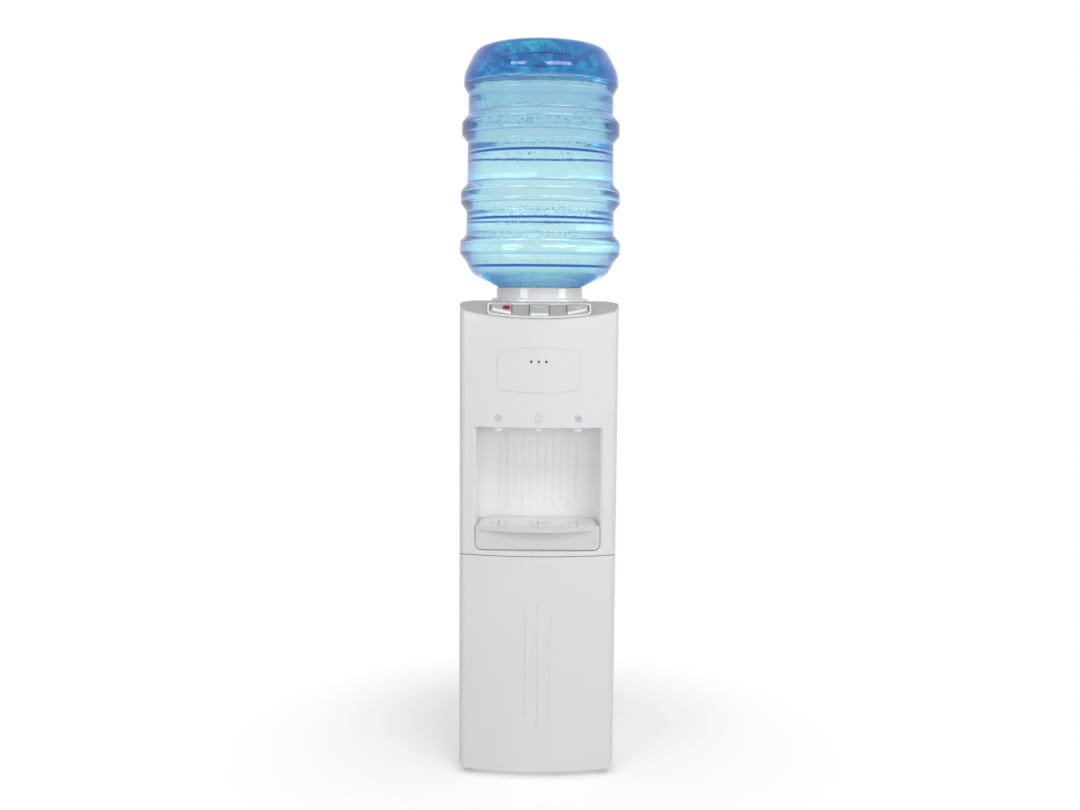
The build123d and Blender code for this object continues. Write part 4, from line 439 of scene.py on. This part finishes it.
# ---------------------------------------------------------------- materials by slot
looks = {
    "front_white": moulded("front_white", (0.70, 0.70, 0.70), 0.34, Coat_Weight=0.1),
    # Lighter than the front white to make up for the shade in the recess: painted light.
    "alcove_white": moulded("alcove_white", (0.85, 0.85, 0.85), 0.34, dust=0.0, Coat_Weight=0.1),
    # Lighter than the other whites to make up for the shade under the bottle: painted light.
    "collar_white": moulded("collar_white", (0.89, 0.88, 0.875), 0.10, grain=500.0, depth=0.02),
    # The cover's inner corners, round the buttons, trim and collar, are darkened with painted shade.
    "cover_grey": moulded("cover_grey", (0.47, 0.465, 0.46), 0.36, corner_shade=True),
    # Grey tops with upright fronts painted lighter: a painted highlight on the buttons' fronts.
    "button_white": moulded("button_white", (0.52, 0.52, 0.515), 0.22, sides=(0.82, 0.82, 0.82)),
    "lock_red": moulded("lock_red", (0.42, 0.008, 0.03), 0.22),
    "badge_white": moulded("badge_white", (0.70, 0.70, 0.70), 0.22, depth=0.02),
    "lamp_lens": lamp_lenses(),
    # Light enough for the bright nozzle tips that catch the light: a painted highlight.
    "tap_white": moulded("tap_white", (0.90, 0.90, 0.90), 0.22),
    "bottle_blue": clear_blue(),
    "water": still_water(),
    "cap_blue": moulded("cap_blue", (0.03, 0.13, 0.42), 0.4),
    "side_white": painted("side_white", (0.70, 0.70, 0.70), 0.32, Coat_Weight=0.2),
    "zinc_sheet": galvanised("zinc_sheet", (0.56, 0.57, 0.58)),
    "tank_steel": brushed("tank_steel", (0.62, 0.62, 0.63), 0.3),
    "black_steel": painted("black_steel", (0.018, 0.018, 0.02), 0.42),
    "copper": tarnished("copper", (0.80, 0.42, 0.27)),
    "insulation": spongy("insulation", (0.78, 0.74, 0.62)),
    "black_rubber": rubbery("black_rubber", (0.022, 0.022, 0.023), 0.72),
    "silicone": rubbery("silicone", (0.66, 0.68, 0.68), 0.38, Subsurface_Weight=0.15),
    "black_plastic": moulded("black_plastic", (0.022, 0.022, 0.024), 0.38, depth=0.1),
    "grey_inner": moulded("grey_inner", (0.5, 0.5, 0.5), 0.5),
    "board_green": printed_board(),
    "spring_steel": brushed("spring_steel", (0.55, 0.55, 0.56), 0.28),
    "rocker_red": moulded("rocker_red", (0.46, 0.01, 0.012), 0.22),
    "rocker_green": moulded("rocker_green", (0.01, 0.28, 0.06), 0.22),
    "screw_steel": brushed("screw_steel", (0.6, 0.6, 0.6), 0.3),
}
# Whites of three nodes that differ from the rest of their slot. The trim is lighter, a painted
# highlight on its raised rim, and the tray darker, painted shade for light that falls from above.
own_looks = {
    "button_trim": moulded("trim_white", (0.92, 0.92, 0.92), 0.22, depth=0.02),
    "drip_tray": moulded("tray_white", (0.63, 0.62, 0.615), 0.34, dust=0.0),
    "drip_grille": moulded("grille_white", (0.80, 0.80, 0.80), 0.34, dust=0.0),
}
for subpart in frame["record"]["subparts"]:
    for slot in nodes[subpart["node"]].material_slots:
        slot.link = "OBJECT"
        slot.material = looks[subpart["material_slot"]]
for node_name, material in own_looks.items():
    nodes[node_name].material_slots[0].material = material


# ---------------------------------------------------------------- shape helpers
ARC_STEP = 0.16
ROUND_SEGMENTS = 176
SHARP_ANGLE = math.radians(35)


def around(count):
    """Angles of count even steps round a circle, from 0."""
    return [2 * math.pi * i / count for i in range(count)]


def rounded(points, radii):
    """Polyline of (r, z) points with the inner corners rounded by their radii."""
    line = [Vector(points[0])]
    for before, corner, after, radius in zip(points, points[1:], points[2:], radii):
        corner = Vector(corner)
        back = (Vector(before) - corner).normalized()
        on = (Vector(after) - corner).normalized()
        half = back.angle(on) / 2
        centre = corner + (back + on).normalized() * (radius / math.sin(half))
        start = corner + back * (radius / math.tan(half))
        end = corner + on * (radius / math.tan(half))
        turn = (start - centre).angle_signed(end - centre)
        steps = max(2, math.ceil(abs(turn) / ARC_STEP))
        for step in range(steps + 1):
            line.append(centre + Matrix.Rotation(-turn * step / steps, 2) @ (start - centre))
    line.append(Vector(points[-1]))
    return line


def turned(name, profile, material):
    """Closed body of revolution round the bottle's axis from a loop of (r, z) points."""
    shape = bmesh.new()
    rings = []
    for radius, height in profile:
        if radius < 1e-6:
            rings.append([shape.verts.new((0.0, BOTTLE_Y, height))])
            continue
        spots = [
            (radius * math.cos(a), BOTTLE_Y + radius * math.sin(a), height)
            for a in around(ROUND_SEGMENTS)
        ]
        rings.append([shape.verts.new(spot) for spot in spots])
    for one, two in zip(rings, rings[1:] + rings[:1]):
        if len(one) == 1 and len(two) == 1:
            continue
        for i in range(ROUND_SEGMENTS):
            j = (i + 1) % ROUND_SEGMENTS
            corners = [one[i % len(one)], one[j % len(one)], two[j % len(two)], two[i % len(two)]]
            shape.faces.new(list(dict.fromkeys(corners)))
    bmesh.ops.recalc_face_normals(shape, faces=shape.faces)
    return finished(name, shape, material)


def finished(name, shape, material):
    """Object from a bmesh, smooth, with its material, linked to the scene."""
    mesh = bpy.data.meshes.new(name)
    shape.to_mesh(mesh)
    shape.free()
    mesh.shade_smooth()
    mesh.set_sharp_from_angle(angle=SHARP_ANGLE)
    mesh.materials.append(material)
    made = bpy.data.objects.new(name, mesh)
    scene.collection.objects.link(made)
    return made


# ---------------------------------------------------------------- bottle and water
# Heights here are above the rim, apart from the end of the neck.
NECK_RADIUS = 0.0275
NECK_LOW = 0.745
SHOULDER_RADIUS = 0.116
SHOULDER_SLOPE = 0.5
BODY_LOW, BODY_LOW_RADIUS = 0.043, 0.1275
BODY_HIGH, BODY_HIGH_RADIUS = 0.324, 0.123
RING_RISE, RING_FOOT, RING_CREST = 0.0105, 0.023, 0.010
FOOT_ROUND, CREST_ROUND, SHOULDER_ROUND = 0.008, 0.009, 0.024
BAND_LOW, BAND_HIGH, BAND_RADIUS = 0.339, 0.358, 0.131
BASE_HEIGHT, BASE_RADIUS, BASE_ROUND = 0.402, 0.108, 0.024
STAND_RADIUS, DISH_RADIUS, DISH = 0.086, 0.064, 0.017
RIM_MIDDLE, RIM_ROUND, SEAT_GAP = 0.072, 0.002, 0.0003
# The water laps into the wall, so that no film of air shows between them.
WATER_LAP = 0.0001


def shoulder_z(radius, inset):
    """Height of the sloped shoulder, which lies on the rounded rim."""
    slant = math.sqrt(1 + SHOULDER_SLOPE**2)
    rest = RIM_Z - RIM_ROUND + (RIM_ROUND + SEAT_GAP + inset) * slant
    return rest + (radius - RIM_MIDDLE) * SHOULDER_SLOPE


def body_radius(height):
    """Radius of the slightly tapered body between its rings."""
    share = (height - BODY_LOW) / (BODY_HIGH - BODY_LOW)
    return BODY_LOW_RADIUS + (BODY_HIGH_RADIUS - BODY_LOW_RADIUS) * share


def bottle_line(inset, low):
    """Half outline of the bottle, inset from its skin, from the neck to the middle of the base."""
    points = [
        (NECK_RADIUS - inset, low),
        (NECK_RADIUS - inset, shoulder_z(NECK_RADIUS - inset, inset)),
        (SHOULDER_RADIUS - inset, shoulder_z(SHOULDER_RADIUS - inset, inset)),
    ]
    radii = [FOOT_ROUND, SHOULDER_ROUND]
    for ring in RING_HEIGHTS:
        crest = body_radius(ring) + RING_RISE - inset
        points.append((body_radius(ring - RING_FOOT) - inset, RIM_Z + ring - RING_FOOT))
        points.append((crest, RIM_Z + ring - RING_CREST))
        points.append((crest, RIM_Z + ring + RING_CREST))
        points.append((body_radius(ring + RING_FOOT) - inset, RIM_Z + ring + RING_FOOT))
        radii += [FOOT_ROUND, CREST_ROUND, CREST_ROUND, FOOT_ROUND]
    points += [
        (BODY_HIGH_RADIUS - inset, RIM_Z + BODY_HIGH),
        (BAND_RADIUS - inset, RIM_Z + BAND_LOW),
        (BAND_RADIUS - inset, RIM_Z + BAND_HIGH),
        (BASE_RADIUS - inset, RIM_Z + BASE_HEIGHT - inset),
        (STAND_RADIUS, RIM_Z + BASE_HEIGHT - inset),
        (DISH_RADIUS, RIM_Z + BASE_HEIGHT - DISH - inset),
        (0.0, RIM_Z + BASE_HEIGHT - DISH - inset),
    ]
    radii += [FOOT_ROUND, FOOT_ROUND, 2 * BASE_ROUND, BASE_ROUND, FOOT_ROUND, FOOT_ROUND]
    return rounded(points, radii)


skin = bottle_line(0.0, NECK_LOW) + bottle_line(BOTTLE_WALL, NECK_LOW)[::-1]
bottle = turned("bottle_skin", skin, looks["bottle_blue"])
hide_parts("bottle")
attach(bottle, "bottle")

wet_line = bottle_line(BOTTLE_WALL - WATER_LAP, WATER_LOW)
covered = [point for point in wet_line if point.y < WATER_LEVEL]
below, above = covered[-1], wet_line[len(covered)]
edge = below.lerp(above, (WATER_LEVEL - below.y) / (above.y - below.y))
fill = [Vector((0.0, WATER_LOW)), *covered, edge, Vector((0.0, WATER_LEVEL))]
water = turned("bottle_fill", fill, looks["water"])
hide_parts("bottle_water")
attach(water, "bottle")


# ---------------------------------------------------------------- return springs
SPRING_WIRE = 0.0011
SPRING_TURNS = 4.0
STEPS_PER_TURN = 24
WIRE_SIDES = 10


def coil(name, foot, head, radius, material):
    """Round-wire compression spring from foot to head, with half a closed turn at each end."""
    shape = bmesh.new()
    rings = []
    rise = head.z - foot.z - SPRING_WIRE
    length = 2 * math.pi * radius
    for step in range(round((SPRING_TURNS + 1) * STEPS_PER_TURN) + 1):
        turn = step / STEPS_PER_TURN
        angle = 2 * math.pi * turn
        share = min(max((turn - 0.5) / SPRING_TURNS, 0.0), 1.0)
        out = Vector((math.cos(angle), math.sin(angle), 0.0))
        middle = foot + out * radius + Vector((0.0, 0.0, SPRING_WIRE / 2 + rise * share))
        slope = rise / SPRING_TURNS if 0.0 < share < 1.0 else 0.0
        up = out.cross(Vector((-out.y * length, out.x * length, slope)).normalized())
        spokes = [out * math.cos(a) + up * math.sin(a) for a in around(WIRE_SIDES)]
        rings.append([shape.verts.new(middle + spoke * (SPRING_WIRE / 2)) for spoke in spokes])
    for one, two in zip(rings, rings[1:]):
        for i in range(WIRE_SIDES):
            j = (i + 1) % WIRE_SIDES
            shape.faces.new((one[i], one[j], two[j], two[i]))
    shape.faces.new(rings[0])
    shape.faces.new(rings[-1])
    bmesh.ops.recalc_face_normals(shape, faces=shape.faces)
    return finished(name, shape, material)


for tap in ("hot", "room", "cold"):
    low_corner, high_corner = (Vector(corner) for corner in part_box(f"{tap}_button_spring"))
    middle = (low_corner + high_corner) / 2
    foot = Vector((middle.x, middle.y, low_corner.z))
    head = Vector((middle.x, middle.y, high_corner.z))
    wound = (high_corner.x - low_corner.x - SPRING_WIRE) / 2
    spring = coil(f"{tap}_return_spring", foot, head, wound, looks["spring_steel"])
    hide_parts(f"{tap}_button_spring")
    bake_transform(spring)


# ---------------------------------------------------------------- generic signs above the taps
# Each line has half its width. Rings and the dot also have a radius and a number of steps.
HOT_RING, HOT_DOT = (0.0058, 0.0006, 40), (0.0022, 0.0009, 24)
ROOM_RING = (0.0060, 0.0005, 40)
WAVE_SWING, WAVE_HEIGHT, WAVE_HALF, WAVE_STEPS = 0.0014, 0.0084, 0.0006, 16
FLAKE_ARMS, ARM_LENGTH, ARM_HALF = 6, 0.0062, 0.0005
TWIG_ROOT, TWIG_TIP, TWIG_SPREAD, TWIG_HALF = 0.0036, 0.0056, 0.0018, 0.0004


def sign(name, middle, strokes, material):
    """Printed sign on the bowed front, of strokes: lines of (x, z, half width) round its middle."""
    shape = bmesh.new()
    for stroke in strokes:
        edges = []
        for number, (x, z, half) in enumerate(stroke):
            before = stroke[max(0, number - 1)]
            after = stroke[min(len(stroke) - 1, number + 1)]
            along = Vector((after[0] - before[0], after[1] - before[1])).normalized()
            across = Vector((-along.y, along.x)) * half
            pair = []
            for way in (1, -1):
                px = middle + x + way * across.x
                spot = (px, face_y(px) - INK_THICKNESS, SIGN_Z + z + way * across.y)
                pair.append(shape.verts.new(spot))
            edges.append(pair)
        for one, two in zip(edges, edges[1:]):
            shape.faces.new((one[0], one[1], two[1], two[0]))
    bmesh.ops.recalc_face_normals(shape, faces=shape.faces)
    made = finished(name, shape, material)
    made.modifiers.new("ink", "SOLIDIFY").thickness = INK_THICKNESS
    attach(made, "cabinet")


def circle(radius, half, steps):
    turn = [2 * math.pi * i / steps for i in range(steps + 1)]
    return [(radius * math.cos(a), radius * math.sin(a), half) for a in turn]


def wave():
    shares = [i / WAVE_STEPS for i in range(WAVE_STEPS + 1)]
    return [
        (WAVE_SWING * math.sin(2 * math.pi * share), WAVE_HEIGHT * (0.5 - share), WAVE_HALF)
        for share in shares
    ]


def snow_crystal():
    """Arms from the middle, each with a twig on both sides."""
    strokes = []
    for arm in range(FLAKE_ARMS):
        angle = math.pi * (2 * arm / FLAKE_ARMS + 0.5)
        way = Vector((math.cos(angle), math.sin(angle)))
        side = Vector((-way.y, way.x))
        strokes.append([(0.0, 0.0, ARM_HALF), (*(way * ARM_LENGTH), ARM_HALF)])
        for hand in (1, -1):
            tip = way * TWIG_TIP + side * (hand * TWIG_SPREAD)
            strokes.append([(*(way * TWIG_ROOT), TWIG_HALF), (*tip, TWIG_HALF)])
    return strokes


pale_ink = printed_ink("pale_ink", (0.44, 0.47, 0.60))
blue_ink = printed_ink("blue_ink", (0.25, 0.33, 0.48))
sign("hot_sign", -TAP_X, [circle(*HOT_RING), circle(*HOT_DOT)], pale_ink)
sign("room_sign", 0.0, [circle(*ROOM_RING), wave()], pale_ink)
sign("cold_sign", TAP_X, snow_crystal(), blue_ink)


# ---------------------------------------------------------------- floor and background
WORLD_LIGHT, BACKGROUND_WHITE = 0.40, 1.0
FLOOR_SIZE, FLOOR_GREY, FLOOR_GLOW = 9.0, 0.82, 0.30
SHADE_FULL, SHADE_END = 0.15, 0.60


def seen_directly(tree):
    """1 for rays that show the background: from the camera, off gloss and through glass."""
    path = tree.nodes.new("ShaderNodeLightPath")
    shown = path.outputs["Is Camera Ray"]
    for kind in ("Is Glossy Ray", "Is Transmission Ray"):
        either = tree.nodes.new("ShaderNodeMath")
        either.operation = "MAXIMUM"
        tree.links.new(shown, either.inputs[0])
        tree.links.new(path.outputs[kind], either.inputs[1])
        shown = either.outputs["Value"]
    return shown


def pale_floor():
    """Floor that shows the part's shadow near it and fades into the white background."""
    look = Look("floor", (FLOOR_GREY, FLOOR_GREY, FLOOR_GREY), 0.7)
    lit = look.shader.outputs["BSDF"]
    near = look.add("ShaderNodeAddShader")
    look.link(lit, near.inputs[0])
    look.link(look.glow(FLOOR_GLOW), near.inputs[1])
    distance = look.add("ShaderNodeVectorMath")
    distance.operation = "LENGTH"
    look.link(look.place, distance.inputs[0])
    far = look.ranged(distance.outputs["Value"], SHADE_FULL, SHADE_END, 0.0, 1.0)
    faded = look.add("ShaderNodeMixShader")
    look.link(far, faded.inputs["Fac"])
    look.link(near.outputs["Shader"], faded.inputs[1])
    look.link(look.glow(BACKGROUND_WHITE), faded.inputs[2])
    shown = look.add("ShaderNodeMixShader")
    look.link(seen_directly(look.tree), shown.inputs["Fac"])
    look.link(lit, shown.inputs[1])
    look.link(faded.outputs["Shader"], shown.inputs[2])
    look.link(shown.outputs["Shader"], look.tree.nodes["Material Output"].inputs["Surface"])
    return look.material


world = bpy.data.worlds.new("studio")
scene.world = world
world.use_nodes = True
world_light = world.node_tree.nodes["Background"]
world_light.inputs["Color"].default_value = (1.0, 1.0, 1.0, 1.0)
strength = world.node_tree.nodes.new("ShaderNodeMapRange")
strength.inputs["To Min"].default_value = WORLD_LIGHT
strength.inputs["To Max"].default_value = BACKGROUND_WHITE
world.node_tree.links.new(seen_directly(world.node_tree), strength.inputs["Value"])
world.node_tree.links.new(strength.outputs["Result"], world_light.inputs["Strength"])

floor_shape = bmesh.new()
bmesh.ops.create_grid(floor_shape, x_segments=8, y_segments=8, size=FLOOR_SIZE)
floor = finished("floor", floor_shape, pale_floor())

# ---------------------------------------------------------------- light and camera
# Name, place, height that it aims at on the part's axis, width, height, power.
SOFTBOXES = (
    ("left_box", (-1.3, -1.78, 2.6), 0.9, 1.0, 0.6, 9.5),
    ("right_box", (1.0, -1.96, 2.6), 0.9, 1.7, 0.6, 21.0),
    ("left_strip", (-1.31, -1.51, 0.79), 0.79, 0.7, 0.16, 2.4),
    ("right_strip", (1.77, -0.94, 0.79), 0.79, 0.8, 0.16, 2.8),
    ("left_low", (-1.23, -1.58, 0.958), 0.958, 1.0, 0.055, 1.0),
    ("right_low", (0.91, -1.79, 0.958), 0.958, 1.8, 0.055, 1.9),
    ("front_box", (1.0, -3.2, 1.1), 0.6, 2.6, 2.0, 23.5),
)
# This one fills the shade and isn't mirrored in the part.
UNMIRRORED = "front_box"
CAMERA_PLACE = (0.0024, -2.089, 0.8128)
CAMERA_DOWN, CAMERA_ROLL = math.radians(5.474), math.radians(0.46)
CAMERA_SENSOR, CAMERA_LENS = 36.0, 40.0

for name, place, aim, width, height, power in SOFTBOXES:
    light = bpy.data.lights.new(name, "AREA")
    light.shape = "RECTANGLE"
    light.size = width
    light.size_y = height
    light.energy = power
    lamp = bpy.data.objects.new(name, light)
    lamp.location = place
    towards = Vector((0.0, 0.0, aim)) - Vector(place)
    lamp.rotation_euler = towards.to_track_quat("-Z", "Y").to_euler()
    lamp.visible_glossy = lamp.visible_transmission = name != UNMIRRORED
    scene.collection.objects.link(lamp)

camera_data = bpy.data.cameras.new("camera")
camera_data.sensor_width = CAMERA_SENSOR
camera_data.lens = CAMERA_LENS
camera = bpy.data.objects.new("camera", camera_data)
camera.location = CAMERA_PLACE
pitch = Matrix.Rotation(math.pi / 2 - CAMERA_DOWN, 3, "X")
roll = Matrix.Rotation(CAMERA_ROLL, 3, "Z")
camera.rotation_euler = (pitch @ roll).to_euler()
scene.collection.objects.link(camera)
scene.camera = camera
